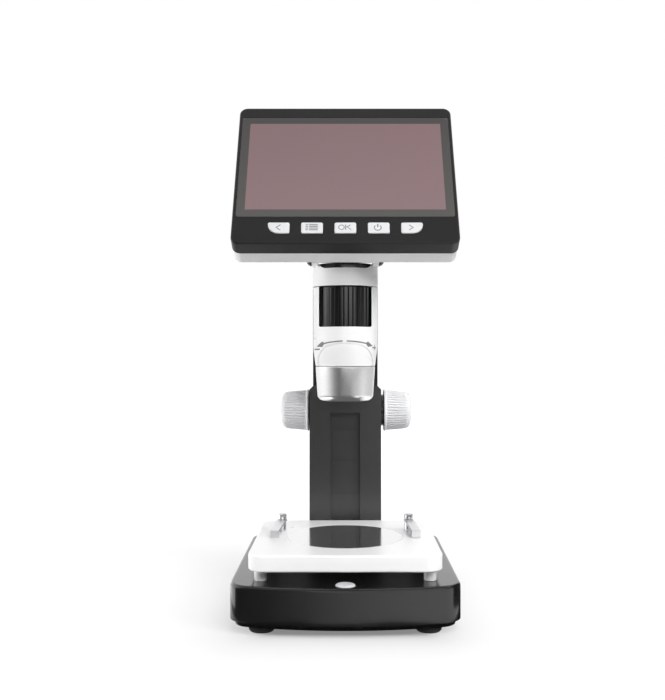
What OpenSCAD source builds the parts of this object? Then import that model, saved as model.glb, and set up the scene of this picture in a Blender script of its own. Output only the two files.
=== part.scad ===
// Digital microscope with a tilting LCD screen on a rack-driven post.
// +X is to the right of the user, +Y points away from the user, +Z is up.
// The origin is on the table, under the middle of the base.

/* [Base] */
// Width of the base
base_w = 105.5; // [101:0.5:108]
// Depth of the base along its middle
base_d = 127; // [125:0.5:130]
// Height of the deck above the table
deck_z = 22.1; // [21.8:0.1:22.6]
// Height of the rubber feet
foot_h = 3.2; // [2.8:0.1:3.6]
// Corner radius of the base in plan
base_corner_r = 11; // [8:0.5:13]
// Radius of the bowed front edge in plan
base_bow_r = 171; // [160:1:400]

/* [Stage] */
// Width of the stage plate
stage_w = 89; // [86:0.5:92]
// Depth of the stage plate
stage_d = 88.4; // [86:0.1:88.6]
// Thickness of the stage plate
stage_t = 7.6; // [7:0.1:8.5]
// Height of the legs between deck and stage
leg_h = 5.3; // [4.8:0.1:6]
// Diameter of the polished disc in the stage
disc_d = 57.4; // [50:0.2:60]

/* [Column] */
// Width of the column
column_w = 39.4; // [39.4:0.1:41]
// Depth of the column
column_d = 27; // [26.5:0.1:28]
// Height of the column's top edge above the table
column_top_z = 108.5; // [107:0.1:108.5]
// Wall thickness of the column mouldings
column_wall = 1.8; // [1.6:0.05:1.8]
// Width of the flute down the column's front
flute_w = 16.2; // [12:0.1:17]
// Depth of that flute
flute_depth = 2.7; // [1.5:0.1:2.8]

/* [Focus drive] */
// Module of the rack and pinion
gear_module = 0.8; // [0.8:0.05:0.8]
// Number of teeth on the pinion
pinion_teeth = 10; // [10:1:10]
// Largest diameter of the focus knobs
knob_d = 23.3; // [20:0.1:24]
// Length of each knob along its shaft
knob_l = 15.3; // [12:0.1:18]

/* [Head] */
// Diameter of the head's white barrel
head_d = 31.9; // [31.7:0.1:32.3]
// Height of the cone's lower rim above the table
cone_bottom_z = 102.8; // [102.4:0.1:103]
// Largest diameter of the silver cone
cone_d = 29.7; // [29:0.1:30]
// Number of ribs around the focus wheel
wheel_ribs = 40; // [24:1:48]

/* [Screen] */
// Width of the screen housing
housing_w = 106.6; // [106:0.1:110]
// Height of the screen housing along its face
housing_h = 85.1; // [84.5:0.1:86]
// Depth of the whole housing
housing_t = 16.2; // [16:0.1:16.5]
// Depth of the black front half of the housing
bezel_t = 8.2; // [8:0.1:8.6]
// Backward lean of the screen from vertical, in degrees
screen_lean = 29.6; // [15:0.1:35]

/* [Hidden] */
$fn = 64;

// Colours
black = "#1d1d1f";
deep_black = "#141416";
white = "#f4f4f2";
off_white = "#e6e5e1";
light_grey = "#d9dadb";
silver = "#c9cbcd";
steel = "#b8babd";
brass = "#c4a35a";
board_green = "#1f5a3a";
glass_grey = "#565b58";
lcd_mauve = "#8c7779";
rubber = "#232323";
foil_blue = "#4a6f9c";
lamp_yellow = "#f0e6b0";

// Fits
running = 0.05;       // radial clearance of a shaft in its bore
slip = 0.1;           // gap beside a sliding face
eps = 0.01;           // overshoot of a cut through a face

// Places along the depth of the microscope
lens_y = -9.6;                         // vertical axis of head, cone and stage disc
column_y = 35;                         // column's front face
column_back_y = column_y + column_d;
hinge_y = -21;                         // screen hinge axis
hinge_z = 173.5;
shaft_y = 48.4;                        // focus knob shaft
shaft_z = 94.5;

// Base
base_wall = 2.4;
base_floor_t = 2;
base_bevel = 1.4;
base_under_bevel = 2.4;
base_rim = base_under_bevel + base_wall / 2;   // rim around the bottom plate
base_bottom_z = foot_h;
floor_top_z = base_bottom_z + base_floor_t;
deck_t = 2.4;
deck_under_z = deck_z - deck_t;
foot_r = 6;
foot_x = 38;
foot_front_y = -49;
foot_back_y = 50;
base_boss_r = 3.4;
base_boss_x = 43;
base_boss_front_y = -33;
base_boss_back_y = 38;
screw_r = 0.95;                        // shank radius of the small screws
screw_head_r = 1.8;
screw_head_h = 1.1;
button_y = -55.4;
button_r = 4.5;
button_proud = 0.7;
button_travel = 0.8;
board_t = 1.2;
base_board_z = 8;
switch_h = 3.6;

// Stage
stage_bottom_z = deck_z + leg_h;
stage_top_z = stage_bottom_z + stage_t;
stage_back_y = 34.4;
stage_front_y = stage_back_y - stage_d;
stage_mid_y = (stage_front_y + stage_back_y) / 2;
stage_corner_r = 8;
stage_bevel = 0.9;
stage_skin = 2.6;
disc_t = 1.2;
leg_r = 2.875;
leg_x = 39;
leg_front_y = -46;
leg_back_y = 27;
clip_x = 32.6;
clip_y = 4;
clip_w = 4.4;
clip_t = 0.9;
clip_under_z = stage_top_z + 5.1;
clip_reach = 18.7;
clip_toe = 7.5;                        // how far each clip points outwards, in degrees
clip_flange_h = 0.9;                   // sides of the channel, below its top
clip_pin_r = 1.5;
clip_spacer_r = 2.2;
clip_head_r = 2.3;
clip_head_h = 2.7;
clip_head_ribs = 14;

// Column and post
column_bevel = 1.9;
column_floor_t = 3;
flute_top_z = 93.7;
seam_heights = [49.3, 67.5, 84.1];     // fine joint lines across the flute
seam_w = 0.32;
seam_depth = 0.15;
column_inner_x = column_w / 2 - column_wall;
cover_boss_r = 2.5;
cover_boss_x = column_inner_x - cover_boss_r + 0.3;
cover_boss_low_z = 34;
cover_boss_high_z = 102;
post_x = column_inner_x - slip;        // outer face of the post's side rails
rail_t = 2.2;
rail_front_y = column_y + column_wall + 2 * slip;
rail_back_y = 43.5;
web_front_y = 39.8;
web_back_y = 41.4;
post_bottom_z = 72;
post_top_z = 167.6;
guide_t = 1.8;
arm_bottom_z = 153.6;
arm_half_w = 11;

// Rack and pinion
pressure_angle = 25;
rack_addendum = 0.65;
pinion_addendum = 0.7;
gear_dedendum = 0.95;
backlash = 0.06;                       // taken off each flank
tooth_pitch = PI * gear_module;
pitch_r = gear_module * pinion_teeth / 2;
rack_pitch_y = shaft_y - pitch_r;
rack_half_w = 3;
pinion_half_w = 3.4;
rack_teeth_below = 4;
rack_teeth_above = 21;
rack_bottom_z = shaft_z - tooth_pitch * rack_teeth_below;
rack_top_z = shaft_z + tooth_pitch * rack_teeth_above;
shaft_r = 2;
bush_flange_r = 8.75;
bush_right_t = 1.6;                    // flange under the right knob
bush_left_t = 0.5;                     // and under the left one, which sits closer in
bush_spigot_r = 4;
knob_right_x = column_w / 2 + bush_right_t + 0.2;
knob_left_x = column_w / 2 + bush_left_t + 0.2;
knob_ribs = 44;

// Head
head_r = head_d / 2;
head_wall = 1.6;
head_inner_r = head_r - head_wall;
head_top_z = 159.2;
head_foot_z = 120;
head_taper_z = 128.5;
head_foot_r = 14.8;
window_half_w = 12.9;
window_bottom_z = 139.2;
skirt_wall = 0.9;                      // the barrel's wall round the dimmer ring
skirt_top_z = 135.3;
arch_top_z = 131.3;
arch_half_w = 13.6;
arch_power = 2.7;                      // 2 is an ellipse, more is squarer
collar_r = 16.25;
collar_wall = 1.6;
collar_top_z = 170.3;
head_screw_seat = 11.9;                // from the lens axis back to the screws' seats
ear_inner_x = 13.2;
ear_outer_x = 16.3;
ear_r = 5.2;
barrel_r = 3;                          // hinge barrel
barrel_web_t = 4;                      // web between it and the housing
hinge_pin_r = 1.5;
hinge_cap_r = 4.8;
hinge_cap_x = 18.8;
wheel_r = 14.2;
wheel_core_r = 13.6;
wheel_bottom_z = 138.3;
wheel_top_z = 158.9;
tube_r = 10;                           // lens tube fixed in the head
tube_bottom_z = 105.6;
tube_flange_z = 136.2;
tube_top_z = 138.2;
carrier_r = tube_r;
carrier_bottom_z = 143;
carrier_top_z = 153;
guide_rod_r = 0.75;
guide_rod_x = 8.2;
ring_bottom_z = 119.9;
ring_top_z = 135;
led_count = 8;
led_circle_r = 7.2;
sensor_board_z = 159.4;

// Screen housing, in its own frame: z up the face from the LCD's lower edge, y into the housing
lcd_y = -34.9;
lcd_z = 194.2;
lcd_w = 95.04;
lcd_h = 54.4;
housing_below = 19.8;                  // face below the LCD
housing_r = 4;
bezel_face_t = 2.2;
bezel_wall = 1.7;
glass_w = 103.3;
glass_low = -4.3;
glass_high = 58.5;
glass_t = 1.1;
back_inset = 0.4;
back_round = 0.9;
back_wall = 1.8;
key_w = 10.2;
key_h = 6.3;
key_top = -8;
key_pitch = 15.55;
key_corner_r = 0.9;
key_outer_r = 5.2;                     // large corner of the two end keys
key_gap = 0.12;
key_proud = 0.5;
key_travel = 0.6;
key_flange_y = bezel_face_t + 0.1;
key_flange_t = 0.8;
key_stem_end = 4.6;
key_board_y = 6.2;

// The hinge axis in that frame
screen_hinge_y = (hinge_y - lcd_y) * cos(screen_lean) - (hinge_z - lcd_z) * sin(screen_lean);
screen_hinge_z = (hinge_y - lcd_y) * sin(screen_lean) + (hinge_z - lcd_z) * cos(screen_lean);

// ---------- helpers ----------

// Points along an arc of radius r about [cx, cy]
function arc(cx, cy, r, from, to, steps) =
    [for (i = [0:steps]) let (a = from + (to - from) * i / steps) [cx + r * cos(a), cy + r * sin(a)]];

// Rectangle with its own radius at each corner, counter-clockwise from the lower left
function corner_points(w, h, radii, steps = 10) = concat(
    arc(-w / 2 + radii[0], -h / 2 + radii[0], radii[0], 180, 270, steps),
    arc(w / 2 - radii[1], -h / 2 + radii[1], radii[1], 270, 360, steps),
    arc(w / 2 - radii[2], h / 2 - radii[2], radii[2], 0, 90, steps),
    arc(-w / 2 + radii[3], h / 2 - radii[3], radii[3], 90, 180, steps)
);

module corner_rect(w, h, radii, steps = 10) polygon(corner_points(w, h, radii, steps));

module rounded_rect(w, h, r, steps = 10) corner_rect(w, h, [r, r, r, r], steps);

// Quarter round of radius r in equal steps, as [inset, drop] pairs from the flat top to the side
function round_steps(r, steps) =
    [for (i = [0:steps]) let (a = 90 * i / steps) [r * (1 - sin(a)), r * (1 - cos(a))]];

// Closed solid through outlines of equal point count, each given as [outline, z] from the top down
module stack(levels) {
    n = len(levels[0][0]);
    last = len(levels) - 1;
    polyhedron(
        points = [for (level = levels, p = level[0]) [p[0], p[1], level[1]]],
        faces = concat(
            [[for (i = [n - 1:-1:0]) i]],
            [for (k = [0:last - 1], i = [0:n - 1]) let (j = (i + 1) % n)
                [k * n + i, k * n + j, (k + 1) * n + j, (k + 1) * n + i]],
            [[for (i = [0:n - 1]) last * n + i]]
        ),
        convexity = 4
    );
}

// Block centred on X, from its low corner values
module block(half_w, y0, y1, z0, z1) {
    translate([-half_w, y0, z0]) cube([2 * half_w, y1 - y0, z1 - z0]);
}

// Its children once on each side of the YZ plane
module both_sides() {
    children();
    mirror([1, 0, 0]) children();
}

// Children at the four corners of a rectangle on the deck
module at_corners(x, front_y, back_y) {
    for (sx = [-1, 1], y = [front_y, back_y]) translate([sx * x, y, 0]) children();
}

// Screw along +Z: the head lies below z = 0 and the shank above it
module screw(shank_l, shank_r = screw_r, head_r = screw_head_r, head_h = screw_head_h) {
    difference() {
        union() {
            cylinder(r = shank_r, h = shank_l);
            translate([0, 0, -head_h]) cylinder(r = head_r, h = head_h);
        }
        for (turn = [0, 90])
            rotate([0, 0, turn]) translate([-head_r * 0.6, -0.2, -head_h - eps])
                cube([head_r * 1.2, 0.4, 0.5]);
    }
}

// Cylinder along X between two stations
module x_cylinder(r, x0, x1, y, z) {
    translate([x0, y, z]) rotate([0, 90, 0]) cylinder(r = r, h = x1 - x0);
}

// Places children in the screen housing's frame
module in_screen() {
    translate([0, lcd_y, lcd_z]) rotate([-screen_lean, 0, 0]) children();
}

// Extrudes a face outline, drawn as x and height, through the housing from depth y0 to y1
module through(y0, y1, x = 0, z = 0) {
    translate([x, y1, z]) rotate([90, 0, 0]) linear_extrude(y1 - y0) children();
}

// ---------- base ----------

// Corner centres of the base: the front ones are tangent to the bowed edge
base_corner_x = base_w / 2 - base_corner_r;
base_bow_y = base_bow_r - base_d / 2;
base_corner_front_y = base_bow_y - sqrt(pow(base_bow_r - base_corner_r, 2) - pow(base_corner_x, 2));
base_corner_back_y = base_d / 2 - base_corner_r;
base_bow_from = 180 - atan2(base_corner_front_y - base_bow_y, base_corner_x);

// Plan of the base, drawn in by inset all round: straight back and sides, bowed front
function base_points(inset) =
    let (
        r = base_corner_r - inset,
        bow_to = 540 - base_bow_from,
        bow_step = (bow_to - base_bow_from) / 24
    )
    concat(
        arc(base_corner_x, base_corner_back_y, r, 0, 90, 12),
        arc(-base_corner_x, base_corner_back_y, r, 90, 180, 12),
        arc(-base_corner_x, base_corner_front_y, r, 180, base_bow_from, 12),
        arc(0, base_bow_y, base_bow_r - inset, base_bow_from + bow_step, bow_to - bow_step, 22),
        arc(base_corner_x, base_corner_front_y, r, 180 - base_bow_from, 0, 12)
    );

module base_outline(inset = 0) polygon(base_points(inset));

module base_shell() {
    color(black) difference() {
        union() {
            difference() {
                stack(concat(
                    [for (s = round_steps(base_bevel, 4)) [base_points(s[0]), deck_z - s[1]]],
                    [for (s = round_steps(base_under_bevel, 3)) let (drop = base_under_bevel - s[1])
                        [base_points(base_under_bevel - s[0]), base_bottom_z + drop]]
                ));
                translate([0, 0, base_bottom_z - eps])
                    linear_extrude(deck_under_z - base_bottom_z + eps) base_outline(base_rim);
                translate([0, 0, base_bottom_z + base_under_bevel])
                    linear_extrude(deck_under_z - base_bottom_z - base_under_bevel) base_outline(base_wall);
            }
            at_corners(base_boss_x, base_boss_front_y, base_boss_back_y)
                translate([0, 0, floor_top_z])
                    cylinder(r = base_boss_r, h = deck_under_z - floor_top_z + eps);
        }
        at_corners(base_boss_x, base_boss_front_y, base_boss_back_y)
            translate([0, 0, floor_top_z - eps]) cylinder(r = screw_r, h = 9);
        translate([0, button_y, deck_under_z - eps]) cylinder(r = button_r + slip, h = deck_t + 1);
        at_corners(leg_x, leg_front_y, leg_back_y)
            translate([0, 0, deck_under_z - eps]) cylinder(r = screw_r + slip, h = deck_t + 1);
        column_foot_places() translate([0, 0, deck_under_z - eps])
            cylinder(r = screw_r + slip, h = deck_t + 1);
    }
}

module base_plate() {
    color(black) difference() {
        union() {
            translate([0, 0, base_bottom_z]) linear_extrude(base_floor_t)
                base_outline(base_rim + slip);
            for (x = [-10, 10], y = [-56, -44])
                translate([x, y, floor_top_z - eps]) cylinder(r = 2, h = base_board_z - floor_top_z + eps);
        }
        at_corners(base_boss_x, base_boss_front_y, base_boss_back_y) {
            translate([0, 0, base_bottom_z - eps]) cylinder(r = screw_r + slip, h = base_floor_t + 1);
            translate([0, 0, base_bottom_z - eps]) cylinder(r = screw_head_r + 0.2, h = screw_head_h + eps);
        }
    }
}

module base_plate_screws() {
    color(steel) at_corners(base_boss_x, base_boss_front_y, base_boss_back_y)
        translate([0, 0, base_bottom_z + screw_head_h]) screw(8);
}

module base_feet() {
    color(rubber) at_corners(foot_x, foot_front_y, foot_back_y)
        rotate_extrude() polygon([
            [0, 0], [foot_r - 0.8, 0], [foot_r - 0.2, 0.5], [foot_r, 1.1], [foot_r, foot_h], [0, foot_h]
        ]);
}

module base_button() {
    top_z = deck_z + button_proud;
    flange_z = deck_under_z - slip;
    color(light_grey) translate([0, button_y, 0]) rotate_extrude() polygon([
        [0, base_board_z + board_t + switch_h + button_travel + slip],
        [1.6, base_board_z + board_t + switch_h + button_travel + slip],
        [1.6, flange_z - 1.4], [button_r + 0.9, flange_z - 1.4], [button_r + 0.9, flange_z],
        [button_r, flange_z], [button_r, top_z - 0.5], [button_r - 0.5, top_z - 0.05], [0, top_z]
    ]);
}

module base_board() {
    color(board_green) translate([-13, -59, base_board_z]) cube([26, 19, board_t]);
}

module base_switch() {
    color(deep_black) translate([0, button_y, base_board_z + board_t]) {
        translate([-3, -3, 0]) cube([6, 6, switch_h - 0.6]);
        cylinder(r = 1.5, h = switch_h);
    }
}

// ---------- stage ----------

function stage_points(inset) =
    let (r = stage_corner_r - inset)
    [for (p = corner_points(stage_w - 2 * inset, stage_d - 2 * inset, [r, r, r, r], 12))
        [p[0], p[1] + stage_mid_y]];

module stage_plate() {
    color(white) difference() {
        union() {
            difference() {
                stack(concat(
                    [for (s = round_steps(stage_bevel, 3)) [stage_points(s[0]), stage_top_z - s[1]]],
                    [[stage_points(0), stage_bottom_z + 0.4], [stage_points(0.4), stage_bottom_z]]
                ));
                translate([0, stage_mid_y, stage_bottom_z - eps])
                    linear_extrude(stage_t - stage_skin + eps)
                        rounded_rect(stage_w - 5, stage_d - 5, stage_corner_r - 2.5);
            }
            at_corners(leg_x, leg_front_y, leg_back_y)
                translate([0, 0, stage_bottom_z]) cylinder(r = 3.8, h = stage_t - stage_skin + eps);
        }
        translate([0, lens_y, stage_top_z - disc_t])
            cylinder(r = disc_d / 2 + slip, h = disc_t + 1, $fn = 128);
        at_corners(leg_x, leg_front_y, leg_back_y)
            translate([0, 0, stage_bottom_z - eps]) cylinder(r = screw_r, h = stage_t - stage_skin);
        both_sides() translate([clip_x, clip_y, stage_top_z - 2]) cylinder(r = clip_pin_r, h = 3);
    }
}

module stage_disc() {
    color(silver) translate([0, lens_y, stage_top_z - disc_t])
        cylinder(r = disc_d / 2, h = disc_t, $fn = 128);
}

module stage_legs() {
    color(white) at_corners(leg_x, leg_front_y, leg_back_y) translate([0, 0, deck_z]) difference() {
        cylinder(r = leg_r, h = leg_h);
        translate([0, 0, -eps]) cylinder(r = screw_r + slip, h = leg_h + 2 * eps);
    }
}

module stage_screws() {
    color(steel) at_corners(leg_x, leg_front_y, leg_back_y)
        translate([0, 0, deck_under_z]) screw(deck_t + leg_h + 3.8);
}

module clip_posts() {
    spacer_top = clip_under_z - slip;
    head_bottom = clip_under_z + clip_t + slip;
    groove_r = 0.16;
    color(silver) both_sides() translate([clip_x, clip_y, 0]) difference() {
        rotate_extrude() polygon([
            [0, stage_top_z - 2], [clip_pin_r, stage_top_z - 2], [clip_pin_r, stage_top_z],
            [clip_spacer_r, stage_top_z], [clip_spacer_r, spacer_top], [clip_pin_r, spacer_top],
            [clip_pin_r, head_bottom], [clip_head_r, head_bottom],
            [clip_head_r, head_bottom + clip_head_h - 0.4],
            [clip_head_r - 0.4, head_bottom + clip_head_h], [0, head_bottom + clip_head_h]
        ]);
        for (i = [0:clip_head_ribs - 1]) rotate([0, 0, i * 360 / clip_head_ribs])
            translate([clip_head_r, 0, head_bottom + 0.5])
                cylinder(r = groove_r, h = clip_head_h, $fn = 12);
    }
}

// Pressed clip: an eye round the post, a channel with turned-down sides, and a front lip to the stage
module spring_clip() {
    top = clip_under_z + clip_t;
    toe_z = stage_top_z + 0.05;
    side_t = 0.8;
    difference() {
        union() {
            translate([0, 0, clip_under_z]) cylinder(r = clip_w / 2 + 0.3, h = clip_t);
            translate([clip_w / 2, 0, 0]) rotate([0, -90, 0]) linear_extrude(clip_w) polygon([
                [clip_under_z, 0], [top, 0], [top, -clip_reach + 1], [top - 0.3, -clip_reach + 0.3],
                [top - 1, -clip_reach], [toe_z + 1.3, -clip_reach], [toe_z + 0.5, -clip_reach - 0.5],
                [toe_z, -clip_reach - 0.2], [toe_z, -clip_reach + 0.3], [toe_z + 0.9, -clip_reach + 0.9],
                [clip_under_z, -clip_reach + 0.9]
            ]);
            both_sides() translate([clip_w / 2 - side_t, -clip_reach + 0.4, clip_under_z - clip_flange_h])
                cube([side_t, clip_reach - clip_w, clip_flange_h + eps]);
        }
        translate([0, 0, clip_under_z - 1]) cylinder(r = clip_pin_r + running, h = clip_t + 2);
    }
}

module clip_right() {
    color(silver) translate([clip_x, clip_y, 0]) rotate([0, 0, clip_toe]) spring_clip();
}

module clip_left() {
    color(silver) translate([-clip_x, clip_y, 0]) rotate([0, 0, -clip_toe]) spring_clip();
}

// ---------- column ----------

module column_foot_places() {
    for (x = [-13, 13], y = [column_y + 6.5, column_back_y - 6])
        translate([x, y, 0]) children();
}

// The four screws of the rear cover, with children along +Y from their heads' seat
module cover_screw_places() {
    for (sx = [-1, 1], z = [cover_boss_low_z, cover_boss_high_z])
        translate([sx * cover_boss_x, column_back_y, z]) rotate([90, 0, 0]) children();
}

module column_front() {
    flute_back_y = column_y + flute_depth;
    slot_z = column_top_z - column_wall - 1;
    half_w = column_w / 2;
    cover_y = column_back_y - column_wall;
    color(black) difference() {
        union() {
            block(half_w, column_y, column_y + column_wall, deck_z, column_top_z);
            both_sides() translate([column_inner_x, column_y, deck_z])
                cube([column_wall, cover_y - column_y, column_top_z - deck_z]);
            block(flute_w / 2 + column_wall, column_y, flute_back_y + column_wall, deck_z,
                flute_top_z + column_wall);
            block(half_w, column_y, cover_y, column_top_z - column_wall, column_top_z);
            block(half_w, column_y, cover_y, deck_z, deck_z + column_floor_t);
            both_sides() translate([column_inner_x - 3.4, rail_back_y + slip, 58])
                cube([3.4 + eps, guide_t, column_top_z - 58 - eps]);
            intersection() {
                cover_screw_places() cylinder(r = cover_boss_r, h = 11);
                block(half_w, column_y, cover_y, deck_z, column_top_z);
            }
        }
        block(flute_w / 2, column_y - 1, flute_back_y, deck_z - 1, flute_top_z);
        for (z = seam_heights)
            block(flute_w / 2, column_y + 1, flute_back_y + seam_depth, z - seam_w / 2, z + seam_w / 2);
        block(post_x + slip, column_y + column_wall + slip, rail_back_y + slip, slot_z, column_top_z + 1);
        block(rack_half_w + 0.4, rail_back_y, rack_pitch_y + rack_addendum + 0.4, slot_z, column_top_z + 1);
        both_sides() translate([half_w, column_y - 1, column_top_z - column_bevel])
            rotate([0, -45, 0]) cube([4, column_d + 2, 4]);
        both_sides() x_cylinder(bush_spigot_r, column_inner_x - 1, half_w + 1, shaft_y, shaft_z);
        cover_screw_places() cylinder(r = screw_r, h = 9);
        column_foot_places() translate([0, 0, deck_z - eps]) cylinder(r = screw_r, h = column_floor_t + 1);
    }
}

module column_back() {
    color(black) difference() {
        block(column_w / 2, column_back_y - column_wall, column_back_y, deck_z, column_top_z);
        both_sides() translate([column_w / 2, column_y - 1, column_top_z - column_bevel])
            rotate([0, -45, 0]) cube([4, column_d + 2, 4]);
        cover_screw_places() {
            translate([0, 0, -1]) cylinder(r = screw_r + slip, h = column_wall + 2);
            translate([0, 0, -1]) cylinder(r = screw_head_r + 0.2, h = 1 + screw_head_h);
        }
    }
}

module column_back_screws() {
    color(steel) cover_screw_places() translate([0, 0, screw_head_h]) screw(7.5);
}

module column_foot_screws() {
    color(steel) column_foot_places() translate([0, 0, deck_under_z]) screw(deck_t + column_floor_t);
}

// ---------- focus drive ----------

module bush(flange_t) {
    outer = column_w / 2;
    difference() {
        union() {
            x_cylinder(bush_flange_r, outer, outer + flange_t, shaft_y, shaft_z);
            x_cylinder(bush_spigot_r, column_inner_x, outer, shaft_y, shaft_z);
        }
        x_cylinder(shaft_r + running, column_inner_x - 1, outer + flange_t + 1, shaft_y, shaft_z);
    }
}

module shaft_bushes() {
    color(black) bush(bush_right_t);
    color(black) mirror([1, 0, 0]) bush(bush_left_t);
}

// Involute flank of one tooth, from the base circle out to the tip
function flank(base_r, tip_r, half_angle, side, steps = 5) =
    [for (i = [0:steps]) let (
        r = base_r + (tip_r - base_r) * i / steps,
        roll = acos(base_r / r),
        inv = tan(roll) * 180 / PI - roll,
        a = side * (half_angle - inv)
    ) [r * cos(a), r * sin(a)]];

// Pinion outline with one tooth pointing along +X
module pinion_outline() {
    base_r = pitch_r * cos(pressure_angle);
    root_r = pitch_r - gear_dedendum;
    tip_r = pitch_r + pinion_addendum;
    inv_pitch = tan(pressure_angle) * 180 / PI - pressure_angle;
    half_angle = 90 / pinion_teeth + inv_pitch - backlash / pitch_r * 180 / PI;
    right = flank(base_r, tip_r, half_angle, -1);
    left = flank(base_r, tip_r, half_angle, 1);
    union() {
        circle(r = root_r);
        for (t = [0:pinion_teeth - 1]) rotate(t * 360 / pinion_teeth) polygon(concat(
            [[0, 0], [root_r * 0.9 * cos(half_angle), -root_r * 0.9 * sin(half_angle)]],
            right,
            [for (i = [len(left) - 1:-1:0]) left[i]],
            [[root_r * 0.9 * cos(half_angle), root_r * 0.9 * sin(half_angle)]]
        ));
    }
}

module pinion_shaft() {
    depth = knob_l - 4;
    color(steel) union() {
        x_cylinder(shaft_r, -knob_left_x - depth, knob_right_x + depth, shaft_y, shaft_z);
        translate([-pinion_half_w, shaft_y, shaft_z]) rotate([0, 90, 0]) rotate([0, 0, -90])
            linear_extrude(2 * pinion_half_w) pinion_outline();
    }
}

// Knob along +Z from its inner face, ribbed on its rim and hollow behind
module knob() {
    r = knob_d / 2;
    flange = 1.1;
    nose = 4.2;
    difference() {
        intersection() {
            rotate_extrude($fn = 96) polygon(concat(
                [[0, 0], [r, 0], [r, flange - 0.2], [r - 0.2, flange], [r - 0.35, flange + 0.1],
                    [r - 1.3, knob_l - nose]],
                arc(r - 1.3 - nose, knob_l - nose, nose, 15, 90, 8),
                [[0, knob_l + 0.2]]
            ));
            union() {
                linear_extrude(knob_l + 1) polygon([
                    for (i = [0:knob_ribs - 1], s = [0:3])
                        let (
                            a = (i + [0, 0.22, 0.5, 0.72][s]) * 360 / knob_ribs,
                            rr = r + [0, 0, -0.95, -0.95][s]
                        ) [rr * cos(a), rr * sin(a)]
                ]);
                cylinder(r = r + 1, h = flange);
                translate([0, 0, knob_l - nose + 1.2]) cylinder(r = r + 1, h = nose);
            }
        }
        difference() {
            translate([0, 0, -eps]) cylinder(r = r - 3, h = knob_l - 4);
            cylinder(r = 4, h = knob_l);
        }
        translate([0, 0, -eps]) cylinder(r = shaft_r, h = knob_l - 4 + eps);
    }
}

module knob_right() {
    color(light_grey) translate([knob_right_x, shaft_y, shaft_z]) rotate([0, 90, 0]) knob();
}

module knob_left() {
    color(light_grey) mirror([1, 0, 0]) translate([knob_left_x, shaft_y, shaft_z])
        rotate([0, 90, 0]) knob();
}

// ---------- post and arm ----------

module arm_screw_places() {
    for (x = [-7, 7], z = [157, 164]) translate([x, web_back_y, z]) rotate([90, 0, 0]) children();
}

module rack_screw_places() {
    for (z = [rack_bottom_z + tooth_pitch, rack_top_z - tooth_pitch])
        translate([0, web_front_y, z]) rotate([-90, 0, 0]) children();
}

module post() {
    color(deep_black) difference() {
        union() {
            block(post_x, web_front_y, web_back_y, post_bottom_z, post_top_z);
            both_sides() translate([post_x - rail_t, rail_front_y, post_bottom_z])
                cube([rail_t, rail_back_y - rail_front_y, post_top_z - post_bottom_z]);
        }
        arm_screw_places() translate([0, 0, -1]) cylinder(r = 1.25 + slip, h = 4);
        rack_screw_places() {
            translate([0, 0, -1]) cylinder(r = screw_r + slip, h = 4);
            translate([0, 0, -1]) cylinder(r = screw_head_r + 0.1, h = 1 + 0.8);
        }
    }
}

module rack() {
    half_tip = tooth_pitch / 4 - rack_addendum * tan(pressure_angle) - backlash;
    half_root = tooth_pitch / 4 + gear_dedendum * tan(pressure_angle) - backlash;
    root_y = rack_pitch_y - gear_dedendum;
    tip_y = rack_pitch_y + rack_addendum;
    color(brass) difference() {
        translate([-rack_half_w, 0, 0]) rotate([90, 0, 90]) linear_extrude(2 * rack_half_w) union() {
            translate([web_back_y, rack_bottom_z])
                square([root_y - web_back_y, rack_top_z - rack_bottom_z]);
            for (k = [-rack_teeth_below:rack_teeth_above - 1])
                translate([0, shaft_z + (k + 0.5) * tooth_pitch]) polygon([
                    [root_y - 0.3, -half_root], [root_y, -half_root], [tip_y, -half_tip], [tip_y, half_tip],
                    [root_y, half_root], [root_y - 0.3, half_root]
                ]);
        }
        rack_screw_places() translate([0, 0, web_back_y - web_front_y - eps])
            cylinder(r = screw_r, h = 1.5);
    }
}

module rack_screws() {
    color(steel) rack_screw_places() translate([0, 0, 0.8]) screw(2.2, head_h = 0.8);
}

module arm() {
    color(black) difference() {
        block(arm_half_w, lens_y, web_front_y, arm_bottom_z, post_top_z);
        translate([0, lens_y, arm_bottom_z - 1]) cylinder(r = head_r, h = 20, $fn = 96);
        translate([0, lens_y, head_top_z]) cylinder(r = collar_r, h = 20, $fn = 96);
        translate([0, -1, 160.5]) rotate([-90, 0, 0]) cylinder(r = 2.6, h = 50);
        arm_screw_places() translate([0, 0, -1]) cylinder(r = 1.25, h = 14);
        head_screw_places() cylinder(r = 1.25, h = 11);
    }
}

module arm_screws() {
    color(steel) arm_screw_places() screw(13, shank_r = 1.25, head_r = 2.2, head_h = 1.4);
}

// ---------- head ----------

// Under-head seats of the two screws that hold the collar to the arm
module head_screw_places() {
    for (x = [-6, 6]) translate([x, lens_y + head_screw_seat, 163.6]) rotate([-90, 0, 0]) children();
}

module head_screws() {
    color(steel) head_screw_places() screw(10, shank_r = 1.25, head_r = 2.1, head_h = 1.3);
}

// Opening at the foot of the barrel, a rounded arch drawn as x and height
module arch_outline() {
    steps = 36;
    rise = arch_top_z - head_foot_z;
    polygon(concat(
        [[-arch_half_w, head_foot_z - 1]],
        [for (i = [0:steps]) let (a = 180 - 180 * i / steps) [
            sign(cos(a)) * arch_half_w * pow(abs(cos(a)), 2 / arch_power),
            head_foot_z + rise * pow(sin(a), 2 / arch_power)
        ]],
        [[arch_half_w, head_foot_z - 1]]
    ));
}

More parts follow.
